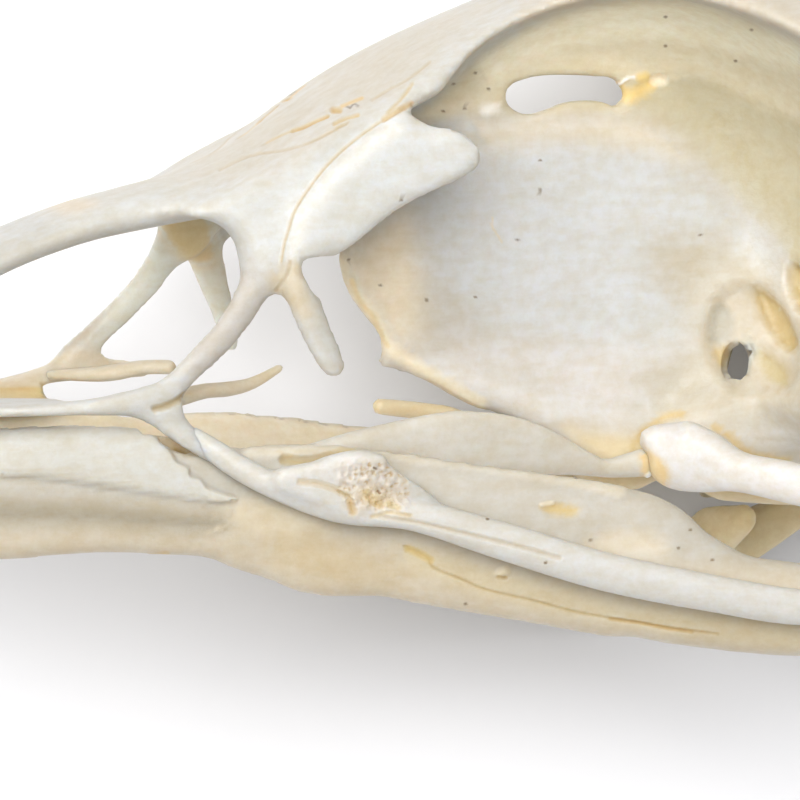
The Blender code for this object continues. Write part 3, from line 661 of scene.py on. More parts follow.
def finish_cranium(skull):
    """Stains, sutures, pits and grains of the cranium, with painted light on the orbit's roof and rim,
    painted shade in a notch and under the nasal's foot, and small painted highlights.
    """
    coat(skull, "#CDC8BE")
    wash(skull, [
        ([(-120, 120), (60, 100), (250, 60), (360, -20), (520, -40), (520, 200), (420, 300), (300, 420),
         (160, 470), (-120, 470)], 30, WHOLE_FACE, "#CED0CF"),
        ([(-80, 150), (60, 180), (170, 170), (250, 120), (340, 40), (430, -40), (560, -60), (700, -60),
         (500, 10), (400, 90), (330, 130), (240, 180), (130, 190), (-80, 240)], 20, FACE, "#C9C4B9"),
        ([(200, 150), (250, 118), (320, 76), (352, 84), (345, 128), (290, 158), (230, 172)], 18, FLANK,
         "#CCC9C2", 0.9),
        ([(300, 255), (285, 215), (320, 175), (385, 120), (415, 125), (450, 120), (480, 150), (440, 200),
         (345, 258)], 14, FLANK, "#DCDFE0"),
        ([(215, 270), (285, 270), (250, 340), (200, 385), (185, 370)], 14, FLANK, "#C5C3BF"),
        (ORBIT_WALL, 9, SOCKET, "#D0C9B0"),
        # Painted light: the roof of the orbit and its rim are painted lighter than the bone around them,
        # where they face away from the lamps and lie in shade.
        ([(420, 118), (440, 98), (480, 64), (520, 38), (560, 20), (600, 9), (650, 4), (700, 9), (750, 28),
         (800, 50), (860, 90), (800, 120), (700, 76), (640, 80), (560, 80), (500, 105), (465, 114)], 9,
         SOCKET, "#E9E2CB"),
        ([(480, 62), (520, 36), (560, 18), (600, 8), (650, 3), (700, 8), (750, 27), (800, 48), (800, 70),
         (740, 54), (690, 42), (640, 38), (580, 44), (530, 60), (490, 84)], 9, SOCKET, "#FFFCE9"),
        ([(409, 206), (420, 237), (426, 265), (424, 305), (412, 345), (386, 338), (366, 306), (350, 290),
         (342, 268), (362, 243), (386, 223)], 24, MIDDLE, "#EEE7D5"),
        ([(430, 150), (560, 125), (660, 140), (740, 210), (780, 262), (720, 300), (700, 400), (480, 330),
         (432, 270)], 40, MIDDLE, "#D9DDE1"),
        ([(470, 118), (560, 118), (640, 120), (690, 160), (640, 150), (560, 140), (490, 150)], 18, MIDDLE,
         "#E6E1D4", 0.9),
        ([(400, 360), (470, 345), (700, 345), (790, 400), (800, 440), (600, 430), (470, 400)], 26,
         SOCKET_BACK, "#E5E5E6", 0.9),
        ([(650, 250), (720, 240), (780, 280), (800, 330), (820, 430), (660, 430), (640, 380), (690, 340)],
         22, SOCKET_BACK, "#D0CBBE", 0.9),
        ([(575, 470), (640, 472), (700, 478), (810, 488), (810, 530), (700, 515), (650, 502), (600, 494),
         (572, 482)], 8, KEEL, "#EBD8AC", 0.9),
        ([(566, 428), (596, 434), (640, 438), (652, 452), (636, 472), (612, 466), (588, 452)], 12,
         (0.0, 2.6), "#E2D3AE", 0.9),
        ([(50, 200), (80, 196), (96, 204), (80, 212), (55, 212)], 8, HEAD, "#D6C9B4", 0.8),
        ([(268, 278), (300, 262), (305, 285), (318, 320), (300, 318)], 8, FLANK, "#D2C8B2", 0.8),
        ([(140, 200), (215, 200), (245, 360), (200, 350), (60, 400), (0, 400), (100, 330)], 12, FAR_SIDE,
         "#E5EAE6"),
        ([(-90, 190), (20, 200), (60, 230), (20, 262), (-90, 300)], 16, (0.0, 3.0), "#C5C6C4"),
        ([(150, 212), (205, 212), (215, 262), (185, 262)], 10, FAR_SIDE, "#E6D6AC"),
        ([(-40, 360), (180, 350), (180, 392), (-40, 390)], 6, FAR_SHELF, "#E3DCCB"),
        ([(-40, 388), (120, 384), (120, 410), (-40, 410)], 4, FAR_SHELF, "#E2CE9E"),
        # Optic hollow with its fan of ridges, and the opening at the picture's right edge
        ([(722, 292), (709, 317), (707, 340), (714, 364), (730, 388), (760, 394), (790, 386), (797, 343),
         (784, 312), (768, 292), (748, 284)], 8, HOLLOW, "#D2CABA", 0.9, 0.2),
        ([(716, 305), (709, 325), (709, 342), (720, 348), (733, 335), (733, 318), (726, 306)], 4, HOLLOW,
         "#C5C1B4", 1.0, 0.08),
        ([(714, 348), (718, 364), (726, 368), (730, 352), (724, 345)], 3, HOLLOW, "#CFBC90"),
        ([(754, 288), (770, 296), (786, 317), (796, 343), (790, 352), (776, 340), (762, 316)], 4, HOLLOW,
         "#CDB888", 1.0, 0.2),
        ([(758, 350), (772, 356), (788, 372), (786, 386), (770, 380), (760, 366)], 5, HOLLOW, "#D0C29C",
         1.0, 0.1),
        ([(791, 264), (810, 272), (812, 318), (796, 308), (788, 284)], 3, (0.3, 12.0), "#D3BD84", 1.0,
         0.5)])
    score(skull, MIDDLE, [
        (SEPTUM_EDGE, 9.0, -0.06, "#F4ECD6"),
        ([(352, 280), (360, 300), (374, 318), (388, 346)], 3.0, 0.03, "#EFE0BC"),
        ([(493, 218), (492, 226), (497, 234), (502, 242)], 1.4, 0.02, "#E3DCCB"),
        ([(618, 90), (628, 96), (638, 92), (650, 84)], 9.0, 0.05, "#EFD896"),
        ([(640, 78), (645, 76)], 6.0, -0.05, "#EFD896"),
        ([(655, 80), (662, 80)], 6.5, 0.12, "#FFF6E0"),
        # Painted highlights: small pure white spots on slight bumps at the pit's rim and at the front of the
        # roof.
        ([(618, 85), (628, 78), (634, 77)], 2.0, -0.06, "#FFFFFF"),
        ([(485, 111), (494, 107)], 7.0, -0.02, "#FFFFFF")])
    score(skull, FLANK, [
        (SUTURE, 2.0, 0.05, "#D3C7AC"),
        # Painted shade: tan shading in the notch where the lacrimal meets the forehead, along a shallow
        # groove.
        ([(384, 119), (398, 110), (411, 104)], 4.0, 0.05, "#D2BE98"),
        ([(292, 131), (304, 127), (316, 121), (328, 116)], 2.0, 0.1, "#D0B47E"),
        ([(266, 143), (280, 136), (294, 130)], 1.5, 0.03, "#D0C0A0"),
        ([(333, 110), (339, 110)], 4.0, 0.08, "#CCAE72"),
        ([(334, 124), (344, 119), (358, 115)], 2.4, 0.05, "#D0BA8E"),
        ([(336, 128), (346, 124)], 1.8, 0.03, "#CDBD9C"),
        ([(258, 140), (275, 124), (290, 118)], 4.0, 0.02, "#D6C3A0"),
        ([(220, 170), (250, 156), (290, 149), (320, 138), (348, 122)], 1.8, 0.03, "#C6BBA6"),
        ([(215, 164), (240, 152), (265, 144)], 1.5, 0.02, "#C6BDAC"),
        ([(372, 100), (392, 88), (410, 78), (430, 62)], 1.8, 0.03, "#C8BEAA"),
        ([(388, 112), (402, 98), (412, 84)], 2.4, 0.03, "#CFC1A2"),
        ([(350, 108), (354, 104), (358, 106)], 1.4, 0.0, "#8C8478"),
        ([(346, 106), (350, 108)], 1.4, 0.0, "#8C8478"),
        ([(342, 106), (362, 98)], 2.4, 0.02, "#D8BE8E"),
        # Painted shadow: the darker tan line under the rounded foot of the nasal strut, in a real groove.
        ([(155, 409), (163, 407), (175, 402), (187, 395)], 4.5, 0.12, "#C6B793"),
        ([(290, 262), (286, 275), (276, 290)], 2.6, 0.04, "#C6BCA6")])
    score(skull, KEEL, [
        ([(634, 447), (641, 434), (655, 423), (668, 416), (682, 414)], 5.0, 0.0, "#DCC796"),
        ([(714, 427), (730, 437), (742, 449), (760, 457), (786, 460)], 4.5, 0.0, "#DCC796")], cuts=0)
    specks(skull, HEAD, [(475, 73), (488, 89), (464, 108), (443, 111), (453, 84), (665, 17), (665, 46),
        (751, 30), (735, 61), (475, 297), (540, 190), (700, 235), (348, 260), (517, 240), (380, 285),
        (426, 300), (401, 200), (540, 160)])


def face_of(side):
    """Nasal, maxilla and lacrimal of one side."""
    lean = -0.45 if side == RIGHT else 0.0
    front = 0.75 if side == LEFT else 0.5
    nasal = limb("nasal", [(-5.6, 3.2, 7.4, 0.9, 3.4), (-6.4, 3.6, 6.2, 0.9, 2.2),
        (-6.6 + lean / 2, 3.9, 5.5, 0.85, 1.55), (-6.75 + lean, 4.1, 4.8, 0.8, 1.32),
        (-7.3 + lean, 4.35, 3.9, 0.75, 1.2), (-8.3 + lean, 4.6, 2.8, 0.75, 1.1),
        (-9.4 + lean, 4.75, 1.9, 0.75, 1.0), (-10.4 + lean, 4.8, 1.0, 0.8, 0.95)], side, up=BACKWARD)
    low = 0.5 if side == RIGHT else 0.0
    cheek = [(-9.2, 7.0), (-8.0, 7.6), (-5.8, 8.7), (-3.7, 10.0 - low), (-1.6, 10.8 - low),
        (-1.6, 10.2 - low), (-3.1, 9.5 - low), (-4.2, 8.4), (-5.0, 7.2), (-5.4, 6.2), (-5.6, 5.2),
        (-6.4, 4.7), (-7.05, 5.2), (-7.3, 6.2), (-8.0, 6.75)]
    cheek = plate("nasal flank", cheek, lambda x, z: side * (3.5 + 0.22 * (x + 7.5) - 0.22 * (z - 6.5)), 1.5)
    bar = [(-20.6, 2.9, 0.7, 1.6, 1.4), (-18.9, 3.95, 0.8, 1.5, 0.9),
        (-17.35, 4.3, front, 1.4, 0.45), (-15.0, 4.6, front, 1.3, 0.42)]
    forms = [nasal, cheek]
    if side == LEFT:
        bar += [(-12.5, 4.8, 0.8, 1.2, 0.6), (-11.2, 4.85, 0.9, 1.1, 0.8), (-10.2, 4.9, 0.7, 1.0, 1.0)]
        root = [(-13.4, 1.0), (-12.5, 1.15), (-11.5, 1.35), (-10.4, 1.55), (-9.75, 1.2), (-9.72, 0.6),
            (-9.4, 0.05), (-8.8, -0.4), (-8.0, -0.85), (-8.3, -1.55), (-9.2, -1.05), (-10.1, -0.5),
            (-10.8, 0.05), (-11.5, 0.4), (-13.4, 0.55)]
        forms.append(plate("cheek bar root", root, lambda x, z: side * (4.85 + 0.3 * max(0.0, 0.7 - z)),
            0.75))
        prong = [(-5.1, 4.9, 6.4, 0.8, 1.6), (-5.55, 5.0, 5.3, 0.8, 1.35), (-5.45, 5.05, 4.3, 0.8, 1.35),
            (-5.0, 5.1, 3.1, 0.8, 1.3), (-4.5, 5.15, 2.1, 0.75, 1.15), (-4.1, 5.2, 1.3, 0.7, 0.9)]
    else:
        bar += [(-13.0, 4.75, 0.5, 1.2, 0.55), (-11.3, 4.85, 0.8, 1.1, 0.65), (-10.0, 4.9, 0.9, 1.1, 0.7),
            (-8.4, 4.95, 0.9, 1.0, 0.7), (-7.0, 5.0, 0.8, 0.7, 0.5)]
        prong = [(-5.6, 4.9, 6.3, 0.8, 2.0), (-5.35, 5.0, 4.9, 0.8, 1.5), (-5.0, 5.0, 3.7, 0.8, 1.25),
            (-4.6, 5.0, 2.5, 0.75, 0.95), (-4.25, 5.0, 1.1, 0.7, 0.8)]
    shelf = [(-18.0, 2.9, front, 3.0, 0.5), (-15.5, 3.2, front, 2.8, 0.5), (-13.2, 3.9, front, 1.6, 0.5)]
    if side == RIGHT:
        shelf = [(-18.0, 2.9, 0.3, 3.0, 0.5), (-15.5, 3.1, 0.0, 2.6, 0.6),
            (-12.4, 3.3, -0.1, 1.8, 0.5), (-10.6, 3.6, -0.05, 0.8, 0.35)]
    shelf = limb("palate shelf", shelf, side)
    outline = [(-5.49, 5.55), (-4.81, 5.52), (-4.09, 5.55), (-3.36, 6.0), (-2.46, 6.75), (-1.56, 7.33),
        (-0.65, 7.71), (0.26, 8.12), (0.73, 8.51), (0.8, 9.02), (0.55, 9.44), (0.07, 9.79),
        (-0.47, 9.97 - low), (-1.2, 10.03 - low), (-1.6, 10.35 - low), (-2.1, 10.4 - low),
        (-3.07, 9.7 - low), (-3.72, 9.2 - low), (-4.33, 8.7), (-4.95, 8.05), (-5.45, 7.3), (-5.75, 6.8),
        (-5.95, 6.2)]
    lacrimal = plate("lacrimal", outline, lambda x, z: side * (4.72 + 0.15 * (x + 5.0) + 0.03 * (z - 8)),
        0.85)
    return [*forms, limb("maxilla", bar, side), shelf, lacrimal, limb("prong", prong, side, up=BACKWARD)]


def cavities():
    """Foramen magnum, and the ear and the quadrate's seat on each side."""
    hollows = [ball("foramen magnum", (25.6, 0.0, -0.6), (2.3, 2.3, 2.1), turn=(0, 25, 0))]
    for side in SIDES.values():
        hollows.append(ball("ear", (17.2, side * 10.4, -0.4), (2.3, 3.4, 2.5)))
        hollows.append(ball("quadrate seat", (16.1, side * 9.0, 0.6), (1.5, 1.6, 1.7)))
    return hollows


def back_of_head():
    """The rear of the braincase with its base, its wings, and the processes beside the socket and the jaw."""
    forms = [
        ball("cerebellum", (24.9, 0.0, 4.2), (2.6, 2.4, 4.6)),
        ball("condyle", (23.4, 0.0, -2.7), (1.3, 1.05, 0.9)),
        limb("basal plate", [(11.15, 0, -3.0, 1.9, 1.9), (14, 0, -3.3, 3.0, 1.9), (18, 0, -3.6, 6.5, 1.6),
            (21.5, 0, -3.3, 7.0, 1.2), (23, 0, -2.4, 4.0, 1.0)])]
    for side in SIDES.values():
        forms.append(ball("floor of the braincase", (12.9, side * 0.9, -1.4), (3.2, 0.95, 1.7)))
        forms.append(limb("postorbital process", [(14.8, 10.2, 9.4, 2.8, 4.0),
            (13.5, 11.4, 6.6, 2.0, 3.0), (12.5, 11.7, 4.2, 1.2, 2.0),
            (11.7, 11.3, 2.1, 0.9, 1.2), (11.1, 10.8, 0.7, 0.6, 0.7)], side, up=BACKWARD))
        forms.append(limb("zygomatic process", [(18.6, 10.2, 6.0, 2.6, 3.2), (16.2, 11.3, 3.6, 1.5, 2.2),
            (14.0, 11.4, 2.0, 1.0, 1.3), (11.8, 11.2, 1.3, 0.8, 0.8)], side))
        forms.append(ball("ear wing", (20.3, side * 7.6, 0.2), (1.4, 2.9, 2.8),
            turn=(side * 30, 0, side * 12)))
    return forms


laid_down(cranium(), IVORY, "braincase", "forehead", "interorbital_septum", "premaxilla", "nasal_L",
    "nasal_R", "maxilla_L", "maxilla_R", "lacrimal_L", "lacrimal_R")


# The cheek bar, palate and jaw joint

CALLUS = [(336, 474), (350, 463), (376, 462), (394, 471), (406, 487), (411, 502), (394, 510), (374, 509),
    (358, 515), (346, 508), (342, 492)]


def cheek_bar():
    """The left cheek bar with its healed break. The right one is missing."""
    side = LEFT
    bar = limb("cheek bar", [(-9.6, 5.1, 0.0, 0.4, 0.4), (-8.8, 5.45, -0.75, 0.7, 0.8),
        (-7.3, 6.05, -1.75, 0.8, 0.9), (-4.9, 6.75, -2.75, 0.85, 0.95), (-2.4, 7.45, -3.0, 0.9, 1.1),
        (0.6, 8.1, -3.95, 0.9, 1.3), (4.0, 8.8, -5.05, 0.9, 1.35), (7.5, 9.5, -5.85, 0.9, 1.3),
        (10.9, 10.1, -6.45, 0.9, 1.25), (13.3, 10.4, -6.1, 1.0, 1.0)], side)
    knot = [(-7.0, -1.4), (-6.2, -1.2), (-5.2, -1.08), (-4.3, -1.0), (-3.5, -1.1), (-2.6, -1.7), (-1.2, -2.8),
            (-2.4, -3.1), (-4.4, -3.1), (-5.3, -2.7), (-6.3, -2.3), (-7.0, -1.95)]
    knot = apply(plate("healed break", knot, lambda x, z: side * (7.15 + 0.2 * min(0.0, x + 4.0)), 0.7),
        "REMESH", mode="VOXEL", voxel_size=0.09)
    knot = apply(knot, "SMOOTH", factor=0.5, iterations=12)
    ridge = limb("ridge", [(-6.2, 6.5, -1.7, 0.4, 0.4), (-5.4, 6.8, -1.3, 0.6, 0.6),
        (-4.2, 7.1, -1.05, 0.8, 0.6), (-3.2, 7.3, -1.3, 0.7, 0.6)], side)
    bar = grow_together(join("cheek_bar", [bar, knot, ridge]), 0.1, 0.12)
    finish_cheek_bar(bar)
    return bar


def finish_cheek_bar(bar):
    """The spongy knot of the healed break, its cracks, and the fine crease behind it."""
    outer = (4.0, 11.0)
    coat(bar, "#D3D4D3")
    wash(bar, [([(150, 400), (200, 400), (232, 440), (215, 465), (160, 440)], 12, outer, "#D3D4D2")])
    divide_near(bar, [[(335, 478), (370, 484), (400, 494)]], [24.0], outer, cuts=1)
    points = points_of(bar)
    spots, seen = sighted(bar, outer)
    spongy = within(spots, CALLUS, 10) * seen
    rough = np.array([noise.fractal(Vector(p) * 4.5, 0.8, 2.0, 4) for p in points])
    press(bar, spongy, rough * 0.06)
    paint(bar, spongy * 0.7, "#D5CDC3")
    wash(bar, [
        ([(356, 490), (372, 486), (392, 494), (400, 506), (380, 508), (362, 504)], 7, outer, "#CDB88F",
         0.6)])
    dice = random.Random(7)
    holes = []
    for _ in range(150):
        x, y = dice.uniform(338, 410), dice.uniform(462, 512)
        if abs((y - 487) / 25) + abs((x - 376) / 40) < 1.2:
            holes.append(([(x, y), (x + dice.uniform(-2, 2), y + dice.uniform(-2, 2))],
                dice.uniform(1.0, 1.7), dice.uniform(0.01, 0.03),
                dice.choice(("#CDBD9F", "#C9B795", "#D3C9B7", "#C4B08C", "#DAD1C2"))))
    score(bar, outer, holes, cuts=0)
    score(bar, outer, [
        ([(300, 482), (318, 484), (334, 489), (349, 497)], 4.5, 0.05, "#D6CBB3"),
        ([(338, 491), (349, 497)], 1.8, 0.03, "#CBB993"),
        ([(350, 502), (353, 512)], 5.0, 0.07, "#CDB587"),
        ([(366, 493), (372, 500), (380, 505)], 5.0, 0.03, "#D0BC92"),
        ([(388, 504), (398, 508)], 4.0, 0.02, "#D3C4A0"),
        ([(374, 468), (376, 469)], 1.6, 0.04, "#8A7C6A"), ([(378, 491), (380, 493)], 1.6, 0.04, "#A08462"),
        ([(380, 517), (414, 522), (467, 534), (517, 546), (560, 558)], 3.0, 0.05, "#D2CCBE"),
        ([(372, 517), (390, 513), (410, 516)], 3.0, 0.03, "#D6CAAE")], cuts=1)
    specks(bar, outer, [(484, 486), (487, 519), (545, 563)])


laid_down(cheek_bar(), IVORY, "jugal_bar_L")

PALATE = (1.0, 6.0)         # layer in mm from the middle plane


def quadrate(word, side):
    """The bone that hangs the lower jaw from the braincase."""
    foot = 15.8 if side == RIGHT else 15.3
    body = limb("quadrate", [(15.9, 9.1, 1.2, 1.8, 1.3), (15.3, 8.7, -0.8, 1.5, 1.1),
        (15.2, 8.6, -2.8, 2.0, 1.8), (foot, 8.4, -4.5, 3.2, 1.8),
        (foot, 8.3, -5.0, 2.6, 1.5)], side, up=BACKWARD)
    reach = limb("orbital process", [(15.4, 8.6, -1.6, 1.2, 2.0),
        (14.7, 8.0, -1.3, 0.9, 1.5), (14.2, 7.6, -1.1, 0.6, 0.9)], side)
    cheek = [(14.9, 8.8, -4.7, 1.4, 1.4), (14.5, 10.0, -5.2, 1.2, 1.0)]
    if side == RIGHT:
        cheek = [(15.4, 8.8, -4.7, 1.2, 1.2), (15.4, 9.4, -4.9, 1.0, 0.9)]
    cheek = limb("cheek joint", cheek, side, up=BACKWARD)
    return coat(grow_together(join("quadrate_" + word, [body, reach, cheek]), 0.15, 0.3), "#E8E0C8")


def pterygoid(word, side):
    """The strut from the quadrate to the palate."""
    rod = limb("pterygoid", [(7.85, 2.6, -1.6, 0.7, 0.5), (8.3, 2.7, -1.55, 1.3, 1.3),
        (9.1, 2.8, -1.92, 1.7, 2.4), (10.0, 3.4, -2.2, 1.6, 2.2), (10.8, 4.6, -2.45, 1.3, 1.4),
        (12.2, 5.8, -2.75, 1.2, 1.45), (13.6, 6.7, -3.2, 1.1, 1.3)], side)
    rod = coat(grow_together(join("pterygoid_" + word, [rod]), 0.1), "#E1E1E2" if side == LEFT else "#E3CFA2")
    wash(rod, [([(630, 445), (652, 452), (668, 470), (664, 494), (640, 490)], 5, PALATE, "#E6D0A0", 0.9)])
    return rod


def palatine(word, side):
    """A blade of the palate, whose front part is broken off on the right."""
    front = [(-12.6, 2.2, -0.4, 1.2, 0.5), (-9.0, 2.4, -1.2, 1.1, 0.5),
        (-5.5, 2.7, -1.5, 0.9, 0.6), (-2.7, 3.0, -1.05, 0.7, 0.9)]
    lamella = [(-0.4, 3.0, -1.0, 0.7, 1.6), (0.7, 3.0, -1.12, 0.7, 2.1), (1.8, 2.95, -1.25, 0.7, 2.2),
        (2.9, 2.85, -1.4, 0.7, 2.1), (4.0, 2.75, -1.65, 0.7, 1.8), (5.0, 2.65, -1.9, 0.7, 1.3),
        (5.8, 2.55, -2.15, 0.7, 0.9), (6.6, 2.4, -2.38, 0.7, 0.65), (7.4, 2.35, -2.35, 0.8, 0.8),
        (8.5, 2.4, -2.2, 0.9, 1.1)]
    if side == RIGHT:
        lamella = [(1.0, 2.95, -1.6, 0.6, 0.8), (1.8, 2.95, -1.75, 0.7, 1.6),
            (2.9, 2.85, -1.85, 0.7, 1.6), (4.0, 2.75, -1.95, 0.7, 1.4), *lamella[5:]]
    palate = limb("palatine", lamella if side == RIGHT else front + lamella, side)
    palate = coat(grow_together(join("palatine_" + word, [palate]), 0.1), "#D4D3CD")
    wash(palate, [
        ([(640, 455), (652, 452), (670, 470), (664, 494), (645, 488)], 4, PALATE, "#E6D0A0", 0.9)])
    # Painted highlight: a small pure white glint on a slight bump at the joint with the pterygoid.
    score(palate, PALATE, [([(647, 476), (650, 474)], 3.0, -0.08, "#FFFFFF")], cuts=1)
    return palate


def maxillopalatine(word, side):
    """The splinter above the palate, broken off short on the right."""
    lift = 0.2 if side == RIGHT else 0.0
    splinter = [(-9.6, 3.4, 0.75 + lift, 1.1, 0.55), (-8.3, 3.0, 0.95 + lift, 0.8, 0.5),
        (-7.2, 2.6, 0.95 + lift, 0.6, 0.5)]
    if side == LEFT:
        splinter += [(-6.2, 2.3, 1.1, 0.45, 0.4), (-5.0, 2.0, 1.6, 0.25, 0.25)]
    else:
        splinter.insert(0, (-11.4, 4.6, 0.85, 0.5, 0.3))
    splinter = limb("maxillopalatine", splinter, side)
    return coat(grow_together(join("maxillopalatine_" + word, [splinter]), 0.07), "#D8D1C0")


for word, side in SIDES.items():
    tag = word[0].upper()
    laid_down(quadrate(word, side), CREAM, "quadrate_" + tag)
    laid_down(pterygoid(word, side), IVORY, "pterygoid_" + tag)
    laid_down(palatine(word, side), IVORY, "palatine_" + tag)
    laid_down(maxillopalatine(word, side), IVORY, "maxillopalatine_" + tag)

vomer = limb("vomer_bone", [(-1.05, 0, -0.12, 0.3, 0.35), (-0.7, 0, -0.2, 0.5, 0.55),
    (1.0, 0, -0.45, 0.6, 0.6), (2.2, 0, -0.75, 0.7, 0.6), (4.5, 0, -2.0, 0.7, 0.6),
    (6.5, 0, -3.2, 0.5, 0.5)])
laid_down(coat(grow_together(vomer, 0.08), "#DCD2B8"), CREAM, "vomer")


# The lower jaw

JAW_OUT = [(-25.0, 0.6), (-23.5, 1.3), (-20.0, 2.5), (-16.5, 3.4), (-13.0, 4.0), (-9.5, 4.5), (-6.0, 4.9),
    (-2.5, 5.5), (1.0, 6.15), (4.5, 6.75), (8.0, 7.4), (11.5, 8.0), (14.5, 8.3), (17.5, 8.3), (20.3, 7.6)]
JAW_TOP = [(-25.0, -3.55), (-23.5, -2.5), (-21.0, -1.35), (-18.5, -0.5), (-16.0, -0.1), (-13.0, -0.05),
    (-10.0, -0.35), (-8.6, -0.7), (-4.8, -0.8), (-0.4, -1.5), (3.2, -2.1), (5.8, -2.6), (6.4, -2.95),
    (6.9, -3.4), (7.5, -3.85), (8.9, -4.65), (9.5, -4.9), (11.6, -5.25), (14.5, -5.9), (16.5, -5.6),
    (18.5, -4.8), (20.3, -3.6)]
JAW_LOW = [(-25.0, -4.0), (-23.5, -4.15), (-20.0, -4.25), (-16.0, -4.4), (-13.8, -4.3), (-12.2, -4.25),
    (-9.9, -4.4), (-8.2, -4.6), (-7.1, -5.1), (-6.1, -5.4), (-5.1, -5.85), (-4.2, -6.0), (-2.5, -6.05),
    (-1.1, -6.35), (0.9, -6.75), (2.7, -7.1), (5.1, -7.6), (7.6, -8.0), (10.0, -8.3), (12.0, -8.45),
    (14.5, -8.3), (17.0, -7.2), (19.0, -5.8), (20.3, -4.3)]
JAW_THICK = [(-25.0, 0.8), (-20.0, 1.2), (-12.0, 1.3), (0.0, 1.4), (8.0, 1.7), (14.5, 2.3), (17.5, 1.5),
    (20.3, 0.8)]
DENTARY_PLATE = [(-60, 416), (0, 419), (60, 420), (116, 422), (127, 427), (137, 432), (143, 437),
    (153, 438), (158, 444), (164, 448), (171, 454), (176, 462), (187, 468), (190, 476), (200, 480),
    (207, 488), (221, 493), (236, 499), (216, 502), (166, 494), (99, 484), (33, 475), (-60, 470)]


def jaw_half(word, side):
    """One half of the lower jaw, from its outline along its length."""
    lines = [line_through(knots) for knots in (JAW_OUT, JAW_TOP, JAW_LOW, JAW_THICK)]
    rows = []
    for x in np.linspace(JAW_OUT[0][0], JAW_OUT[-1][0], 60):
        out, top, low, thick = (float(line(x)[0, 0]) for line in lines)
        rows.append((x, out, (top + low) / 2, thick, top - low))
    ramus = limb("ramus", rows, side, square=2.8, facets=48)
    chin = limb("chin", [(-24.9, 0.6, -3.75, 1.2, 0.4), (-23.5, 0.8, -3.85, 2.2, 0.6),
        (-21.5, 1.2, -3.9, 3.0, 0.7), (-19.8, 1.6, -3.9, 3.2, 0.6)], side)
    inner = limb("inner process", [(14.6, 7.9, -6.4, 2.2, 1.8), (14.9, 6.4, -5.9, 1.7, 1.4),
        (15.4, 4.8, -5.2, 0.8, 0.7)], side, up=BACKWARD)
    jaw = grow_together(join("jaw_" + word, [ramus, chin, inner]), 0.16, 0.2, 10)
    finish_jaw(jaw)
    return jaw


def finish_jaw(jaw):
    """The dentary's splintery plate, the ridges and hollows behind it, sutures and stains, with painted shade
    above and under the plate and in the foramen's pit, painted light on the right half's inner rear, and a
    painted highlight on the top ridge.
    """
    outer = (2.2, 9.5)
    coat(jaw, "#D4CDBF")
    wash(jaw, [
        ([(-200, 400), (60, 430), (250, 440), (480, 455), (640, 475), (760, 540), (1000, 560), (1000, 600),
         (760, 570), (600, 550), (430, 520), (250, 505), (-200, 490)], 16, outer, "#C9C7C1"),
        ([(-200, 380), (180, 380), (360, 400), (460, 440), (300, 460), (-200, 460)], 10, (2.0, 8.0, FAR),
         "#F6F0E0"),
        # Partly the warm tan of the bone and partly painted light: the inner face of the right half's rear,
        # which lies in shade, painted a light warm cream.
        ([(600, 480), (1000, 480), (1000, 620), (600, 600)], 40, (2.0, 9.0, FAR), "#F4E7C2"),
        # Painted shade: the gap above the dentary plate, a real 0.5 mm hollow, painted dark tan.
        ([(-60, 380), (120, 380), (200, 440), (190, 452), (160, 440), (130, 424), (60, 418), (-60, 416)],
         6, outer, "#C9B384", 1.0, 0.5),
        # Painted shade: the hollow under the dentary plate, which faces down, painted dark grey-tan over a
        # real shallow hollow.
        ([(-80, 500), (60, 505), (160, 512), (230, 522), (200, 536), (100, 530), (-80, 530)], 16, outer,
         "#AAA495", 0.9, 0.16),
        ([(280, 520), (340, 545), (420, 575), (340, 585), (270, 560)], 18, outer, "#D0C2A5", 0.8),
        ([(240, 500), (300, 508), (330, 530), (270, 540), (230, 520)], 12, outer, "#DDD5C2", 0.8, -0.06),
        ([(400, 545), (500, 572), (640, 605), (800, 625), (800, 650), (640, 628), (500, 600), (410, 570)],
         10, outer, "#DAD0B6", 0.8),
        ([(420, 470), (520, 480), (620, 495), (660, 520), (600, 530), (480, 510)], 20, outer, "#CCCAC5",
         0.6),
        ([(586, 548), (605, 532), (640, 530), (664, 540), (662, 553), (630, 556)], 12, outer, "#E4DDCF",
         0.9, 0.07),
        ([(540, 507), (556, 503), (578, 508), (574, 516), (552, 514)], 4, outer, "#D9C694", 1.0, 0.04)])
    score(jaw, outer, [
        # Painted highlight: the jaw's top ridge, raised, and painted paler along its crest.
        ([(250, 451), (290, 451), (329, 446), (361, 446), (388, 450), (414, 457), (467, 463), (560, 478),
          (620, 491)], 8.0, -0.12, "#DAD6CC"),
        ([(284, 460), (310, 462), (330, 457), (350, 453)], 6.0, 0.1, "#CFC09A"),
        ([(404, 546), (428, 558), (434, 568), (463, 580), (487, 590), (531, 600), (576, 612), (629, 621),
          (665, 627), (718, 634)], 2.0, 0.03, "#CDBD98"),
        ([(408, 549), (420, 554), (430, 560)], 5.0, 0.02, "#DCC78E"),
        ([(610, 619), (640, 623), (665, 628), (692, 632)], 2.2, 0.03, "#C9AF7A"),
        ([(500, 574), (505, 571)], 6.0, -0.08, "#E0D6BE"),
        # Painted shadow: a dark tan line in the small pit under the foramen's lump.
        ([(498, 577), (506, 578)], 2.4, 0.06, "#CBB78C"),
        ([(542, 505), (552, 503)], 3.0, -0.05, "#E0DACC"),
        ([(116, 556), (140, 559), (166, 555)], 5.0, 0.0, "#D3BF92"),
        ([(60, 432), (80, 431)], 4.0, 0.01, "#DCD2B0"), ([(96, 460), (110, 462)], 5.0, 0.01, "#DED6BE")])
    divide_near(jaw, [DENTARY_PLATE[3:19]], [7.0], outer)
    wash(jaw, [(DENTARY_PLATE, 2.6, outer, "#D2D4D3", 0.95, -0.2)])
    specks(jaw, outer, [(465, 604), (590, 540), (678, 548), (712, 560), (668, 430), (690, 530)])


for word, side in SIDES.items():
    laid_down(jaw_half(word, side), CREAM, "mandible_" + word[0].upper())


# Floor, light and camera

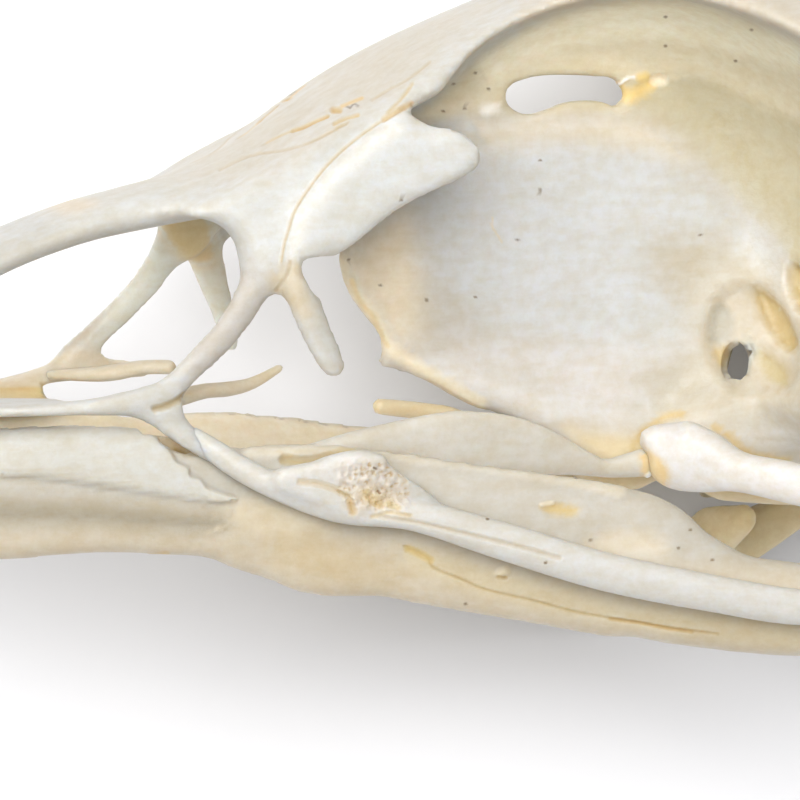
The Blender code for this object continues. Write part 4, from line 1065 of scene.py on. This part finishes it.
def place_camera():
    right, up, back = directions()
    camera = bpy.data.objects.new("camera", bpy.data.cameras.new("camera"))
    bpy.context.scene.collection.objects.link(camera)
    eye = back * VIEW_DISTANCE * MM
    stand = Matrix([(*row, eye[k]) for k, row in enumerate(zip(right, up, back))] + [(0, 0, 0, 1)])
    camera.matrix_world = LIE @ stand
    camera.data.sensor_width = SENSOR
    camera.data.lens = SENSOR * PIXELS_PER_MM * VIEW_DISTANCE / IMAGE_SIZE
    camera.data.clip_start = 0.001
    bpy.context.scene.camera = camera


def place_floor():
    bpy.ops.mesh.primitive_plane_add(size=3.0)
    floor = bpy.context.object
    floor.name = "floor"
    paper = bpy.data.materials.new("white paper sweep")
    paper.use_nodes = True
    shader = paper.node_tree.nodes["Principled BSDF"]
    shader.inputs["Base Color"].default_value = (0.91, 0.91, 0.93, 1.0)
    shader.inputs["Roughness"].default_value = 0.9
    shader.inputs["Specular IOR Level"].default_value = 0.0
    floor.data.materials.append(paper)


LIGHT_DISTANCE = 0.6
# Softboxes: lean from the line of sight and turn from the picture's top to its right in degrees, size in m,
# power in W
SOFTBOXES = {"front softbox": (6.0, 0.0, 0.25, 2.1), "upper left softbox": (29.0, -35.0, 0.4, 2.7),
    "lower fill": (40.0, 180.0, 0.5, 0.2),}
ROOM = 0.36


def place_lights():
    right, up, back = directions()
    for name, (lean, turn, size, power) in SOFTBOXES.items():
        lean, turn = math.radians(lean), math.radians(turn)
        sideways = up * math.cos(turn) + right * math.sin(turn)
        aim = LIE_TURN @ (back * math.cos(lean) + sideways * math.sin(lean))
        lamp = bpy.data.lights.new(name, "AREA")
        lamp.shape = "SQUARE"
        lamp.size = size
        lamp.energy = power
        softbox = bpy.data.objects.new(name, lamp)
        bpy.context.scene.collection.objects.link(softbox)
        softbox.location = aim * LIGHT_DISTANCE
        softbox.rotation_euler = aim.to_track_quat("Z", "Y").to_euler()
    world = bpy.data.worlds.new("white room")
    world.use_nodes = True
    world.node_tree.nodes["Background"].inputs["Color"].default_value = (1.0, 1.0, 1.0, 1.0)
    world.node_tree.nodes["Background"].inputs["Strength"].default_value = ROOM
    bpy.context.scene.world = world
    bpy.context.scene.view_settings.view_transform = "Standard"


place_camera()
place_floor()
place_lights()
